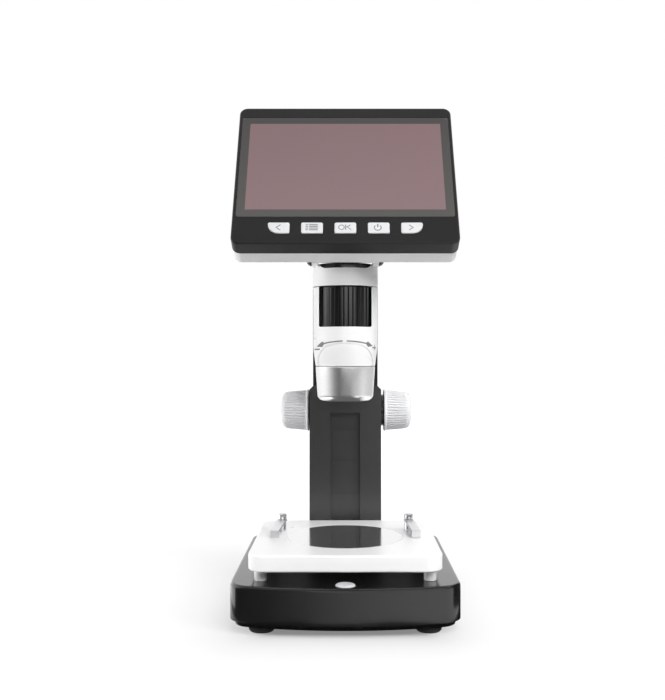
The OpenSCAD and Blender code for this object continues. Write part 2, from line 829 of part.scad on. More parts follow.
module head_shell() {
    color(white) difference() {
        translate([0, lens_y, 0]) rotate_extrude($fn = 128) polygon([
            [head_foot_r - skirt_wall, head_foot_z], [head_foot_r, head_foot_z], [head_r, head_taper_z],
            [head_r, head_top_z], [head_inner_r, head_top_z], [head_inner_r, skirt_top_z],
            [head_r - skirt_wall, skirt_top_z], [head_r - skirt_wall, head_taper_z]
        ]);
        block(window_half_w, lens_y - head_r - 1, lens_y - 5, window_bottom_z, head_top_z + 1);
        translate([0, lens_y, 0]) rotate([90, 0, 0]) linear_extrude(head_r + 2) arch_outline();
    }
}

// Profile of a hinge ear, drawn as depth and height
module ear_outline(ceiling_z) {
    translate([hinge_y, hinge_z]) circle(r = ear_r);
    polygon([
        [hinge_y - 3.4, hinge_z - 3.9], [-19.4, ceiling_z], [-10.5, ceiling_z],
        [-10.5, collar_top_z], [hinge_y + 4, hinge_z + 3.3]
    ]);
}

module head_collar() {
    ceiling_z = collar_top_z - collar_wall;
    post_h = ceiling_z - sensor_board_z - board_t + eps;
    color(white) difference() {
        union() {
            translate([0, lens_y, head_top_z]) difference() {
                cylinder(r = collar_r, h = collar_top_z - head_top_z, $fn = 128);
                translate([0, 0, -eps])
                    cylinder(r = collar_r - collar_wall, h = ceiling_z - head_top_z, $fn = 96);
            }
            for (a = [90, 210, 330]) translate([0, lens_y, 0]) rotate([0, 0, a])
                translate([11, 0, sensor_board_z + board_t]) cylinder(r = 1.6, h = post_h);
            intersection() {
                for (x = [-6, 6]) translate([x - 2.8, lens_y + head_screw_seat, 160.8])
                    cube([5.6, 4.5, ceiling_z - 160.8 + eps]);
                translate([0, lens_y, 160]) cylinder(r = collar_r - 0.5, h = ceiling_z - 159.5);
            }
            both_sides() translate([ear_inner_x, 0, 0]) rotate([90, 0, 90])
                linear_extrude(ear_outer_x - ear_inner_x) union() ear_outline(ceiling_z);
        }
        both_sides() x_cylinder(hinge_pin_r + running, ear_inner_x - 1, ear_outer_x + 1, hinge_y, hinge_z);
        head_screw_places() translate([0, 0, -eps]) cylinder(r = 1.25 + slip, h = 6);
        translate([0, lens_y + 2, ceiling_z - 1]) cylinder(r = 3.2, h = 4);
    }
}

module focus_wheel() {
    wheel_h = wheel_top_z - wheel_bottom_z;
    color(deep_black) translate([0, lens_y, wheel_bottom_z]) difference() {
        linear_extrude(wheel_h) polygon([
            for (i = [0:wheel_ribs - 1], s = [0:3])
                let (
                    a = (i + [0, 0.34, 0.5, 0.84][s]) * 360 / wheel_ribs,
                    r = [wheel_r, wheel_r, wheel_core_r, wheel_core_r][s]
                ) [r * cos(a), r * sin(a)]
        ]);
        translate([0, 0, -1]) cylinder(r = carrier_r + running, h = wheel_h + 2, $fn = 96);
    }
}

module lens_carrier() {
    lip = 1.5;
    color(deep_black) translate([0, lens_y, carrier_bottom_z]) difference() {
        cylinder(r = carrier_r, h = carrier_top_z - carrier_bottom_z, $fn = 96);
        translate([0, 0, -1]) cylinder(r = 5.2, h = 20);
        translate([0, 0, lip]) cylinder(r = 6.2, h = 20);
        for (x = [-guide_rod_x, guide_rod_x])
            translate([x, 0, -1]) cylinder(r = guide_rod_r + running, h = 20, $fn = 32);
    }
}

module guide_rods() {
    color(steel) for (x = [-guide_rod_x, guide_rod_x]) translate([x, lens_y, tube_top_z])
        cylinder(r = guide_rod_r, h = sensor_board_z - tube_top_z, $fn = 32);
}

// Biconvex objective resting on the carrier's lip
module lens() {
    edge_r = 6.2;
    edge_t = 1.4;
    bulge_r = 18;
    spread = asin(edge_r / bulge_r);
    drop = bulge_r * cos(spread);
    color(glass_grey, 0.5) translate([0, lens_y, carrier_bottom_z + 1.5 + bulge_r - drop])
        rotate_extrude() polygon(concat(
            arc(0, drop, bulge_r, -90, spread - 90, 6),
            arc(0, edge_t - drop, bulge_r, 90 - spread, 90, 6)
        ));
}

module lens_tube() {
    color(deep_black) translate([0, lens_y, 0]) rotate_extrude($fn = 96) polygon([
        [5, tube_bottom_z], [tube_r, tube_bottom_z], [tube_r, tube_flange_z], [head_inner_r, tube_flange_z],
        [head_inner_r, tube_top_z], [6, tube_top_z], [6, tube_flange_z], [8.2, tube_flange_z - 2],
        [8.2, tube_bottom_z + 2], [5, tube_bottom_z + 2]
    ]);
}

module front_window() {
    color(glass_grey, 0.5) translate([0, lens_y, tube_bottom_z + 2]) cylinder(r = 8.2, h = 1.2);
}

module led_board() {
    color(board_green) translate([0, lens_y, tube_bottom_z - board_t]) difference() {
        cylinder(r = 9.4, h = board_t);
        translate([0, 0, -1]) cylinder(r = 4.4, h = board_t + 2);
    }
}

module leds() {
    color(lamp_yellow) for (i = [0:led_count - 1]) translate([0, lens_y, tube_bottom_z - board_t - 0.8])
        rotate([0, 0, i * 360 / led_count]) translate([led_circle_r - 1, -1, 0]) cube([2, 2, 0.8]);
}

module dimmer_ring() {
    under_skirt = skirt_wall + 0.15;
    color(off_white) translate([0, lens_y, 0]) rotate_extrude($fn = 128) polygon([
        [tube_r + running, ring_bottom_z - 3.5], [12.9, ring_bottom_z - 3.5], [12.9, ring_bottom_z],
        [head_foot_r - under_skirt, ring_bottom_z], [head_r - under_skirt, head_taper_z],
        [head_r - under_skirt, ring_top_z], [tube_r + running, ring_top_z]
    ]);
}

// Lamp cone: tapered wall, rolled lower edge and a flat rim round the lamps
module silver_cone() {
    top_r = cone_d / 2;
    roll = 3.2;
    low_r = 13.95;
    rim_r = 9.8;
    color(silver) translate([0, lens_y, 0]) rotate_extrude($fn = 128) polygon(concat(
        [[rim_r, cone_bottom_z + 1], [rim_r, cone_bottom_z]],
        arc(low_r - roll, cone_bottom_z + roll, roll, -90, 0, 10),
        [
            [top_r, ring_bottom_z - 0.3], [top_r - 0.3, ring_bottom_z], [12.9, ring_bottom_z],
            [12.9, cone_bottom_z + 5], [11.2, cone_bottom_z + 1.6]
        ]
    ));
}

module sensor_board() {
    color(board_green) translate([0, lens_y, sensor_board_z]) cylinder(r = 12.8, h = board_t);
}

module image_sensor() {
    color(deep_black) translate([-3.5, lens_y - 2.8, sensor_board_z - 1]) cube([7, 5.6, 1]);
}

// ---------- screen hinge ----------

module hinge_barrel() {
    half = ear_inner_x - 0.2;
    color(deep_black) difference() {
        union() {
            x_cylinder(barrel_r, -half, half, hinge_y, hinge_z);
            in_screen() translate([-half + 1.5, housing_t, screen_hinge_z - barrel_web_t / 2])
                cube([2 * half - 3, screen_hinge_y - housing_t - hinge_pin_r - 0.6, barrel_web_t]);
        }
        x_cylinder(hinge_pin_r, -half - 1, half + 1, hinge_y, hinge_z);
    }
}

module hinge_pin() {
    color(steel) x_cylinder(hinge_pin_r, -hinge_cap_x + 1, hinge_cap_x - 1, hinge_y, hinge_z);
}

module hinge_caps() {
    cap_t = hinge_cap_x - ear_outer_x - slip;
    cap_edge = arc(hinge_cap_r - cap_t, 0, cap_t, 0, 80, 6);
    color(deep_black) both_sides() translate([ear_outer_x + slip, hinge_y, hinge_z]) rotate([0, 90, 0])
        difference() {
            rotate_extrude() polygon(concat([[0, 0]], cap_edge, [[0, cap_t]]));
            translate([0, 0, -1]) cylinder(r = hinge_pin_r, h = cap_t);
        }
}

// ---------- screen ----------

housing_mid_z = housing_h / 2 - housing_below;

// Outline of one key or its hole, with one large lower corner on the two end keys
module key_outline(index, grow) {
    big = key_outer_r + grow;
    small = key_corner_r + grow;
    radii = [index == -2 ? big : small, index == 2 ? big : small, small, small];
    corner_rect(key_w + 2 * grow, key_h + 2 * grow, radii);
}

module at_key(index) {
    translate([index * key_pitch, 0, key_top - key_h / 2]) children();
}

// Bosses and screws that hold the back to the bezel, with children along -Y from the back
module housing_screw_places() {
    for (sx = [-1, 1], z = [-housing_below + 6, housing_h - housing_below - 3.2])
        translate([sx * (housing_w / 2 - 5.6), housing_t, z]) rotate([90, 0, 0]) children();
}

module screen_bezel() {
    window_h = 57;
    cavity_w = housing_w - 2 * bezel_wall;
    cavity_h = housing_h - 2 * bezel_wall;
    color(black) in_screen() difference() {
        union() {
            difference() {
                hull() {
                    through(0.7, bezel_t, z = housing_mid_z) rounded_rect(housing_w, housing_h, housing_r);
                    through(0, 0.7, z = housing_mid_z)
                        rounded_rect(housing_w - 1, housing_h - 1, housing_r - 0.5);
                }
                through(bezel_face_t, bezel_t + 1, z = housing_mid_z)
                    rounded_rect(cavity_w, cavity_h, housing_r - bezel_wall);
            }
            intersection() {
                housing_screw_places() translate([0, 0, housing_t - bezel_t + 0.4])
                    cylinder(r = 2.4, h = bezel_t);
                through(1, bezel_t, z = housing_mid_z)
                    rounded_rect(housing_w - 1, housing_h - 1, housing_r - 0.5);
            }
        }
        through(-1, glass_t + 0.05, z = (glass_low + glass_high) / 2)
            rounded_rect(glass_w + 2 * slip, glass_high - glass_low + 2 * slip, 1.3);
        through(-1, bezel_face_t + 1, z = (glass_low + glass_high) / 2)
            rounded_rect(lcd_w + 2.4, window_h, 0.8);
        for (i = [-2:2]) at_key(i) through(-1, bezel_face_t + 1) key_outline(i, key_gap);
        housing_screw_places() translate([0, 0, housing_t - bezel_t]) cylinder(r = screw_r, h = 5.6);
    }
}

// White rear half with softened edges, a socket opening in its side and screw tubes
module screen_back() {
    w = housing_w - 2 * back_inset;
    h = housing_h - 0.8;
    color(white) in_screen() difference() {
        union() {
            difference() {
                hull() {
                    through(bezel_t, housing_t - back_round, z = housing_mid_z)
                        rounded_rect(w, h, housing_r);
                    through(bezel_t, housing_t - back_round * 0.3, z = housing_mid_z)
                        rounded_rect(w - back_round * 0.6, h - back_round * 0.6, housing_r);
                    through(bezel_t, housing_t, z = housing_mid_z)
                        rounded_rect(w - back_round * 2, h - back_round * 2, housing_r);
                }
                through(bezel_t - 1, housing_t - back_wall, z = housing_mid_z)
                    rounded_rect(w - 2 * back_wall, h - 2 * back_wall, housing_r - back_wall);
            }
            intersection() {
                housing_screw_places() translate([0, 0, 1]) cylinder(r = 3, h = housing_t - bezel_t - 1);
                through(bezel_t, housing_t - 0.5, z = housing_mid_z) rounded_rect(w - 1, h - 1, housing_r);
            }
        }
        housing_screw_places() {
            translate([0, 0, -1]) cylinder(r = screw_head_r + 0.2, h = 3.4);
            translate([0, 0, -1]) cylinder(r = screw_r + slip, h = housing_t);
        }
        usb_place() translate([-1, -1.7, -4.5]) cube([9, 3.4, 9]);
    }
}

module usb_place() {
    translate([housing_w / 2 - back_inset - 6.6, 11.6, 20]) children();
}

// Socket shell for charging, open towards +X
module usb_port() {
    color(steel) in_screen() usb_place() difference() {
        translate([0, -1.6, -4.4]) cube([6, 3.2, 8.8]);
        translate([1, -1.1, -3.9]) cube([6, 2.2, 7.8]);
    }
}

module cover_glass() {
    color(glass_grey) in_screen() through(0.05, glass_t + 0.05, z = (glass_low + glass_high) / 2)
        rounded_rect(glass_w, glass_high - glass_low, 1.2);
}

module lcd_panel() {
    color(lcd_mauve) in_screen() through(bezel_face_t, bezel_face_t + 3, z = lcd_h / 2 - 0.6)
        rounded_rect(lcd_w + 5, lcd_h + 7, 0.8);
}

module main_board() {
    color(board_green) in_screen() through(8.8, 8.8 + board_t, z = 28) rounded_rect(88, 52, 1.5);
}

module battery() {
    color(foil_blue) in_screen() through(10.3, 14.2, x = -14, z = 30) rounded_rect(54, 38, 1.6);
}

// Strip board with a switch under each key
module key_board() {
    color(board_green) in_screen() union() {
        through(key_board_y, key_board_y + 1, z = key_top - key_h / 2) rounded_rect(74, 8.6, 0.6);
        for (i = [-2:2]) at_key(i) through(key_board_y - 0.9, key_board_y + eps) rounded_rect(4, 4, 0.4);
    }
}

module key(index) {
    color(white) in_screen() at_key(index) union() {
        through(-key_proud + 0.2, key_flange_y + eps) key_outline(index, 0);
        through(-key_proud, -key_proud + 0.2 + eps) key_outline(index, -0.2);
        through(key_flange_y, key_flange_y + key_flange_t) rounded_rect(key_w + 2.2, key_h + 1.6, 0.8);
        through(key_flange_y, key_stem_end) rounded_rect(3, 3, 0.4);
    }
}

module key_back() key(-2);
module key_menu() key(-1);
module key_ok() key(0);
module key_power() key(1);
module key_next() key(2);

module screen_screws() {
    color(steel) in_screen() housing_screw_places() translate([0, 0, 2.4]) screw(9.5);
}

base_shell();
base_plate();
base_plate_screws();
base_feet();
base_button();
base_board();
base_switch();
stage_plate();
stage_disc();
stage_legs();
stage_screws();
clip_posts();
clip_left();
clip_right();
column_front();
column_back();
column_back_screws();
column_foot_screws();
shaft_bushes();
pinion_shaft();
knob_left();
knob_right();
post();
rack();
rack_screws();
arm();
arm_screws();
head_screws();
head_shell();
head_collar();
focus_wheel();
lens_carrier();
guide_rods();
lens();
lens_tube();
front_window();
led_board();
leds();
dimmer_ring();
silver_cone();
sensor_board();
image_sensor();
hinge_barrel();
hinge_pin();
hinge_caps();
screen_bezel();
screen_back();
cover_glass();
lcd_panel();
main_board();
battery();
key_board();
key_back();
key_menu();
key_ok();
key_power();
key_next();
screen_screws();
usb_port();
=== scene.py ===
"""Looks of the desktop digital microscope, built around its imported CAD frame."""

from itertools import product
from math import acos, asin, atan2, cos, degrees, pi, radians, sin, sqrt, tan

import bmesh
import bpy
from mathutils import Matrix, Vector
from mathutils.geometry import tessellate_polygon


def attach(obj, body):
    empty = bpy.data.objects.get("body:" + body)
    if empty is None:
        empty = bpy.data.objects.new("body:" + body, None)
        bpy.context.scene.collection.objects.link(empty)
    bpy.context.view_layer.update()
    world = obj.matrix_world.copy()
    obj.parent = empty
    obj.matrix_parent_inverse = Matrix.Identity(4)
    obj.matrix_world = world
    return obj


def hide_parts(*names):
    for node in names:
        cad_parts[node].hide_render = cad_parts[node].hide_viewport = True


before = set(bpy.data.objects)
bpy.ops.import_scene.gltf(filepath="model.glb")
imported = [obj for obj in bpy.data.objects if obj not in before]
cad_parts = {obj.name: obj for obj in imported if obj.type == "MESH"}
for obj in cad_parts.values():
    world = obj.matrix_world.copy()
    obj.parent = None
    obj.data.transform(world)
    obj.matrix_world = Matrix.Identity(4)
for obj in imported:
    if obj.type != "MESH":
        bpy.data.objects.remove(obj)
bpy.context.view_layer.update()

MM = 0.001


def aimed(place, angle, axis="X"):
    """A turn about an axis, and then a move."""
    return Matrix.Translation(place) @ Matrix.Rotation(radians(angle), 4, axis)


# Places and sizes from the CAD, in millimetres
DECK_Z = 22.1
BUTTON_Y = -55.4
STAGE_LOW, STAGE_TOP = 27.4, 35.0
STAGE_LEGS = tuple(product((-39, 39), (-46, 27)))
CLIP_X, CLIP_Y = 32.6, 4
LENS_Y = -9.6
COLUMN_HALF, COLUMN_TOP = 19.7, 108.5
SHAFT_Y, SHAFT_Z = 48.4, 94.5
ARM_LOW, ARM_TOP = 153.6, 167.6
RAIL_BACK = 40.6
SHELL_LOW = 120.0
BARREL_R = 15.95
HINGE_Y, HINGE_Z = -21.0, 173.5
# From the housing's own axes, X across, Y into it and Z up its face, to the object's
SCREEN = aimed((0, -34.9, 194.2), -29.6)
HOUSING_MID = 85.1 / 2 - 19.8
GLASS_W, GLASS_H = 103.3, 58.5 + 4.3
GLASS_MID = (58.5 - 4.3) / 2
KEYS = {"key_back": -2, "key_menu": -1, "key_ok": 0, "key_power": 1, "key_next": 2}
KEY_W, KEY_H = 10.2, 6.3
KEY_MID = -8 - KEY_H / 2
KEY_PITCH = 15.55


# ---------- materials ----------


def srgb(*levels):
    """Linear colour of an 8-bit sRGB one."""
    parts = [c / 255 for c in levels]
    return (*(c / 12.92 if c <= 0.04045 else ((c + 0.055) / 1.055) ** 2.4 for c in parts), 1.0)


class Tree:
    """Node tree of a material or world, with small helpers."""

    def __init__(self, owner, empty=True):
        owner.use_nodes = True
        self.tree = owner.node_tree
        if empty:
            self.tree.nodes.clear()

    def node(self, kind, values=None, **props):
        """New node whose sockets take plain values or other nodes' outputs."""
        n = self.tree.nodes.new("ShaderNode" + kind)
        for key, value in props.items():
            setattr(n, key, value)
        for socket, value in (values or {}).items():
            if isinstance(value, bpy.types.NodeSocket):
                self.tree.links.new(value, n.inputs[socket])
            else:
                n.inputs[socket].default_value = value
        return n

    def place(self):
        return self.node("TexCoord").outputs["Object"]

    def math(self, op, *values, clamp=False):
        n = self.node("Math", dict(enumerate(values)), operation=op, use_clamp=clamp)
        return n.outputs[0]

    def vector(self, op, *values, out="Vector"):
        n = self.node("VectorMath", dict(enumerate(values)), operation=op)
        return n.outputs[out]

    def remap(self, fac, low, high, out_low=0, out_high=1):
        ends = {"From Min": low, "From Max": high, "To Min": out_low, "To Max": out_high}
        return self.node("MapRange", {"Value": fac, **ends}).outputs["Result"]

    def ramp(self, fac, stops):
        n = self.node("ValToRGB", {"Fac": fac})
        bar = n.color_ramp
        while len(bar.elements) < len(stops):
            bar.elements.new(0.5)
        for e, (at, colour) in zip(bar.elements, stops):
            e.position = at
            e.color = colour
        return n.outputs["Color"]

    def greys(self, fac, stops):
        """Grey ramp: a brightness at each place from 0 to 1."""
        return self.ramp(fac, [(at, (v, v, v, 1)) for at, v in stops])

    def mix(self, fac, a, b):
        return self.node("Mix", {0: fac, 6: a, 7: b}, data_type="RGBA").outputs[2]


class Finish(Tree):
    """A Principled material with helpers for its textures."""

    def __init__(self, name, rough, sockets=None):
        self.mat = bpy.data.materials.new(name)
        super().__init__(self.mat, empty=False)
        self.bsdf = self.tree.nodes["Principled BSDF"]
        for socket, value in {"Roughness": rough, "IOR": 1.5, **(sockets or {})}.items():
            self.bsdf.inputs[socket].default_value = value
        self.spot = self.place()

    def noise(self, size_mm, detail=3.0, rough=0.55, stretch=None, distort=0.0):
        spot = self.spot
        if stretch:
            spot = self.node("Mapping", {"Vector": spot, "Scale": stretch}).outputs[0]
        values = {"Vector": spot, "Scale": 1000.0 / size_mm, "Detail": detail}
        values |= {"Roughness": rough, "Distortion": distort}
        return self.node("TexNoise", values).outputs["Fac"]

    def feed(self, socket, out):
        self.tree.links.new(out, self.bsdf.inputs[socket])

    def tones(self, fac, colour, tone):
        """The colour, a little darker and lighter by turns."""
        dark, light = ((*(c * k for c in colour[:3]), 1.0) for k in (1 - tone, 1 + tone))
        self.feed("Base Color", self.ramp(fac, [(0.3, dark), (0.7, light)]))

    def sheen(self, fac, low, high):
        self.feed("Roughness", self.remap(fac, 0.3, 0.7, low, high))

    def bump(self, height, depth_mm):
        n = self.node("Bump", {"Height": height, "Distance": depth_mm * MM})
        self.feed("Normal", n.outputs["Normal"])


def moulded(name, colour, rough, tone, cloud_mm, grain_mm, depth_mm, smudge=0.03, sockets=None):
    """Injection-moulded plastic: faint cloudy tone, uneven sheen and a fine tool grain."""
    f = Finish(name, rough, sockets)
    f.tones(f.noise(cloud_mm, 4.0, 0.6), srgb(*colour), tone)
    f.sheen(f.noise(9.0, 5.0, 0.65, distort=0.6), rough - smudge, rough + smudge)
    f.bump(f.noise(grain_mm, 2.0, 0.5), depth_mm)
    return f


def metal(name, colour, rough, tone, grain_mm, depth_mm, spread=0.05, stretch=None):
    """Bare or plated metal with its finishing marks."""
    f = Finish(name, rough, {"Metallic": 1.0})
    grain = f.noise(grain_mm, 3.0, 0.6, stretch)
    f.tones(grain, srgb(*colour), tone)
    f.sheen(f.noise(6.0, 4.0), rough - spread, rough + spread)
    f.bump(grain, depth_mm)
    return f


def board_finish():
    """Green solder mask with tracks and pads showing through it."""
    f = Finish("circuit_board", 0.35)
    values = {"Vector": f.spot, "Scale": 260, "Mortar Size": 0.04, "Mortar": srgb(46, 128, 84)}
    values |= {"Color1": srgb(24, 92, 56), "Color2": srgb(20, 80, 50)}
    tracks = f.node("TexBrick", values).outputs
    cells = f.node("TexVoronoi", {"Vector": f.spot, "Scale": 1000.0 / 2.6})
    pads = f.remap(cells.outputs["Distance"], 0.16, 0.2)
    f.feed("Base Color", f.mix(pads, srgb(196, 170, 96), tracks["Color"]))
    f.bump(tracks["Fac"], 0.03)
    return f


def clear_finish():
    """Coated optical glass."""
    coat = {"Coat Weight": 0.3, "Coat Roughness": 0.02}
    f = Finish("lens_glass", 0.02, {"IOR": 1.52, "Transmission Weight": 1.0, **coat})
    tint = [(0.3, srgb(236, 240, 246)), (0.7, srgb(246, 242, 250))]
    f.feed("Base Color", f.ramp(f.noise(14.0, 2.0), tint))
    return f


def glass_finish():
    """Display cover: a printed grey border round the switched-off LCD, in the housing's axes, both
    with painted shade from lighter at the bottom to darker at the top.
    """
    coat = {"Coat Weight": 1.0, "Coat Roughness": 0.03}
    f = Finish("cover_glass", 0.22, {"Specular IOR Level": 0.0, **coat})
    axes = f.node("SeparateXYZ", {0: f.spot}).outputs
    lcd_half, lcd_top, soft = 0.04752, 0.0544, 0.00018
    across = f.remap(f.math("ABSOLUTE", axes["X"]), lcd_half - soft, lcd_half + soft, 1, 0)
    above = f.remap(axes["Z"], -soft, soft)
    below = f.remap(axes["Z"], lcd_top - soft, lcd_top + soft, 1, 0)
    lcd = f.math("MULTIPLY", across, f.math("MULTIPLY", above, below))
    # Painted shade: the panel and the border are lighter at the bottom and darker towards the top
    painted_shade_fall = f.remap(axes["Z"], -0.004, 0.0585)
    panel = f.ramp(painted_shade_fall, [(0.0, srgb(133, 111, 113)), (1.0, srgb(124, 102, 104))])
    cloud = f.remap(f.noise(30.0), 0.35, 0.65, 0.0, 0.10)
    panel = f.mix(cloud, panel, srgb(120, 102, 108))
    border = f.ramp(painted_shade_fall, [(0.0, srgb(86, 84, 82)), (1.0, srgb(71, 69, 69))])
    f.feed("Base Color", f.mix(lcd, border, panel))
    f.sheen(f.noise(11.0, 4.0, distort=0.5), 0.2, 0.27)
    return f


THIN_COAT = {"Coat Weight": 0.25, "Coat Roughness": 0.1}
PLASTICS = (
    # Name, colour, roughness, tone, sizes of cloud and grain and depth of grain in mm, smudge
    ("gloss_black", (15, 15, 17), 0.2, 0.12, 30, 0.6, 0.001, 0.03, THIN_COAT),
    ("satin_black", (48, 48, 49), 0.38, 0.08, 26, 0.42, 0.01),
    ("housing_black", (24, 24, 25), 0.4, 0.08, 26, 0.42, 0.01, 0.03, {"Specular IOR Level": 0.4}),
    ("black_polymer", (18, 18, 19), 0.27, 0.1, 12, 0.5, 0.0015),
    ("wheel_black", (18, 18, 19), 0.2, 0.06, 12, 0.5, 0.0005, 0.015),
    ("rubber", (27, 27, 28), 0.75, 0.14, 7, 0.5, 0.02, 0.06),
    ("gloss_white", (244, 244, 244), 0.3, 0.008, 40, 0.8, 0.002),
    ("matt_white", (236, 236, 237), 0.5, 0.012, 30, 0.4, 0.01, 0.04),
    ("housing_white", (247, 247, 248), 0.42, 0.008, 30, 0.4, 0.006),
    ("key_white", (214, 215, 217), 0.42, 0.012, 12, 0.4, 0.006),
    ("light_grey", (240, 240, 242), 0.42, 0.015, 16, 0.4, 0.003, 0.04),
    ("button_grey", (206, 206, 209), 0.4, 0.012, 12, 0.4, 0.004),
    ("printed_grey", (120, 120, 122), 0.5, 0.06, 4, 0.3, 0.002),
    ("key_legend", (132, 133, 135), 0.5, 0.06, 4, 0.3, 0.002),
    ("lcd", (132, 110, 113), 0.3, 0.05, 18, 0.3, 0.002),
    ("led_resin", (238, 226, 168), 0.3, 0.1, 2, 0.4, 0.004),
)
METALS = (
    # Name, colour, roughness, tone, size and depth of grain in mm, spread of roughness, stretch
    ("satin_silver", (243, 243, 244), 0.3, 0.12, 0.32, 0.006, 0.03),
    ("bright_chrome", (214, 215, 218), 0.2, 0.05, 0.9, 0.006, 0.05, (1, 0.12, 1)),
    ("clip_satin", (236, 236, 238), 0.34, 0.04, 0.5, 0.004),
    ("mirror_disc", (241, 241, 242), 0.125, 0.02, 0.5, 0.0004, 0.02),
    ("steel", (176, 178, 181), 0.3, 0.08, 0.6, 0.006),
    ("brass", (203, 168, 96), 0.32, 0.08, 0.5, 0.008, 0.05, (1, 1, 0.1)),
    ("battery_foil", (96, 126, 172), 0.34, 0.08, 3, 0.05),
)
FINISHES = {row[0]: moulded(*row) for row in PLASTICS}
FINISHES |= {row[0]: metal(*row) for row in METALS}
FINISHES["cover_glass"] = glass_finish()
FINISHES["lens_glass"] = clear_finish()
FINISHES["circuit_board"] = board_finish()


def dress_nodes():
    """Every CAD node takes the finish of its own material slot."""
    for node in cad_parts.values():
        for i, m in enumerate(node.data.materials):
            key = m.name.split(".")[0]
            node.data.materials[i] = FINISHES[key].mat


# ---------- mesh helpers (all in millimetres) ----------


def arc(cx, cy, r, a0, a1, steps):
    """Points of an arc between two angles in degrees."""
    out = []
    for i in range(steps + 1):
        a = radians(a0 + (a1 - a0) * i / steps)
        out.append((cx + r * cos(a), cy + r * sin(a)))
    return out


def circle(cx, cy, r, steps):
    return arc(cx, cy, r, 0, 360, steps)[:-1]


def rect_outline(w, h, radii, steps, cx, cy):
    """Counter-clockwise rounded rectangle, radii from the lower left corner on."""
    if not isinstance(radii, list):
        radii = [radii] * 4
    places = ((-1, -1, 180), (1, -1, 270), (1, 1, 0), (-1, 1, 90))
    out = []
    for (sx, sy, a), r in zip(places, radii):
        out += arc(cx + sx * (w / 2 - r), cy + sy * (h / 2 - r), r, a, a + 90, steps)
    return out


def soften(corners, steps, closed=False):
    """Polyline through (x, y, radius) corners, each cut by an arc of at most its radius."""
    out = []
    n = len(corners)
    for i, (*xy, r) in enumerate(corners):
        p = Vector(xy)
        if r <= 0 or (not closed and i in (0, n - 1)):
            out.append((p.x, p.y))
            continue
        a = Vector(corners[i - 1][:2]) - p
        b = Vector(corners[(i + 1) % n][:2]) - p
        la, lb = a.length, b.length
        a.normalize()
        b.normalize()
        half = a.angle(b) / 2
        t = min(r / tan(half), la * 0.48, lb * 0.48)
        c = p + (a + b).normalized() * (t / cos(half))
        d = p + a * t - c
        turn = d.angle_signed(p + b * t - c)
        for s in range(steps + 1):
            w = -turn * s / steps
            x = c.x + d.x * cos(w) - d.y * sin(w)
            out.append((x, c.y + d.x * sin(w) + d.y * cos(w)))
    return out


def quarter(r, steps):
    """(inset, drop) pairs of a quarter round, from the flat top to the side."""
    turns = [pi / 2 * i / steps for i in range(steps + 1)]
    return [(r * (1 - sin(a)), r * (1 - cos(a))) for a in turns]


class Shape:
    """Vertices and faces of one piece while it is built."""

    def __init__(self):
        self.v = []
        self.f = []

    def ring(self, pts):
        base = len(self.v)
        self.v += [tuple(p) for p in pts]
        return list(range(base, base + len(pts)))

    def level_rings(self, outline, pairs):
        """Level rings of outline(inset), for pairs of inset and height."""
        return [self.ring([(x, y, z) for x, y in outline(i)]) for i, z in pairs]

    def upright_rings(self, outline, pairs):
        """Rings parallel to the screen's face, for pairs of inset and depth."""
        return [self.ring([(x, y, z) for x, z in outline(i)]) for i, y in pairs]

    def bridge(self, a, b, closed=True):
        n = len(a)
        for i in range(n if closed else n - 1):
            j = (i + 1) % n
            self.f.append((a[i], a[j], b[j], b[i]))

    def loft(self, rings):
        for a, b in zip(rings, rings[1:]):
            self.bridge(a, b)

    def fill(self, *loops):
        """Flat face through an outer loop and any hole loops."""
        pts = [[Vector(self.v[i]) for i in loop] for loop in loops]
        flat = [i for loop in loops for i in loop]
        for tri in tessellate_polygon(pts):
            self.f.append(tuple(flat[k] for k in tri))

    def lathe(self, profile, steps, cx=0.0, cy=0.0, wave=None, closed=False):
        """Turns (radius, height) pairs round a vertical axis."""
        rings = []
        for r, z in profile:
            if r < 1e-6:
                rings.append(self.ring([(cx, cy, z)]))
                continue
            pts = []
            for i in range(steps):
                a = 2 * pi * i / steps
                rr = wave(a, r, z) if wave else r
                pts.append((cx + rr * cos(a), cy + rr * sin(a), z))
            rings.append(self.ring(pts))
        pairs = list(zip(rings, rings[1:]))
        if closed:
            pairs.append((rings[-1], rings[0]))
        for a, b in pairs:
            tip, loop = sorted((a, b), key=len)
            if len(tip) == 1:
                self.f += [(tip[0], p, q) for p, q in zip(loop, loop[1:] + loop[:1])]
            else:
                self.bridge(a, b)
        return self

    def rod(self, r, low, high, steps, cx=0.0, cy=0.0):
        return self.lathe([(0, low), (r, low), (r, high), (0, high)], steps, cx, cy)

    def prism(self, outline, low, high, holes=()):
        """Straight solid over an outline of (x, y) points."""
        loops = (outline, *holes)
        top = [self.ring([(x, y, high) for x, y in loop]) for loop in loops]
        bottom = [self.ring([(x, y, low) for x, y in loop]) for loop in loops]
        self.fill(*top)
        self.fill(*bottom)
        for a, b in zip(top, bottom):
            self.bridge(a, b)
        return self

    def block(self, x0, x1, y0, y1, z0, z1):
        return self.prism([(x0, y0), (x1, y0), (x1, y1), (x0, y1)], z0, z1)

    def turn(self, matrix, start=0):
        """Moves the vertices from index start on by a matrix."""
        for i in range(start, len(self.v)):
            self.v[i] = tuple(matrix @ Vector(self.v[i]))
        return self

    def copy_mirrored(self, start, face_start):
        """Adds a mirror image across X of all from the given indices on."""
        shift = len(self.v) - start
        self.v += [(-x, y, z) for x, y, z in self.v[start:]]
        self.f += [tuple(i + shift for i in reversed(face)) for face in self.f[face_start:]]

    def mesh(self, name):
        me = bpy.data.meshes.new(name)
        me.from_pydata(self.v, [], self.f)
        bm = bmesh.new()
        bm.from_mesh(me)
        bmesh.ops.remove_doubles(bm, verts=bm.verts, dist=0.0005)
        bmesh.ops.recalc_face_normals(bm, faces=bm.faces)
        bm.to_mesh(me)
        bm.free()
        me.transform(Matrix.Scale(MM, 4))
        return me


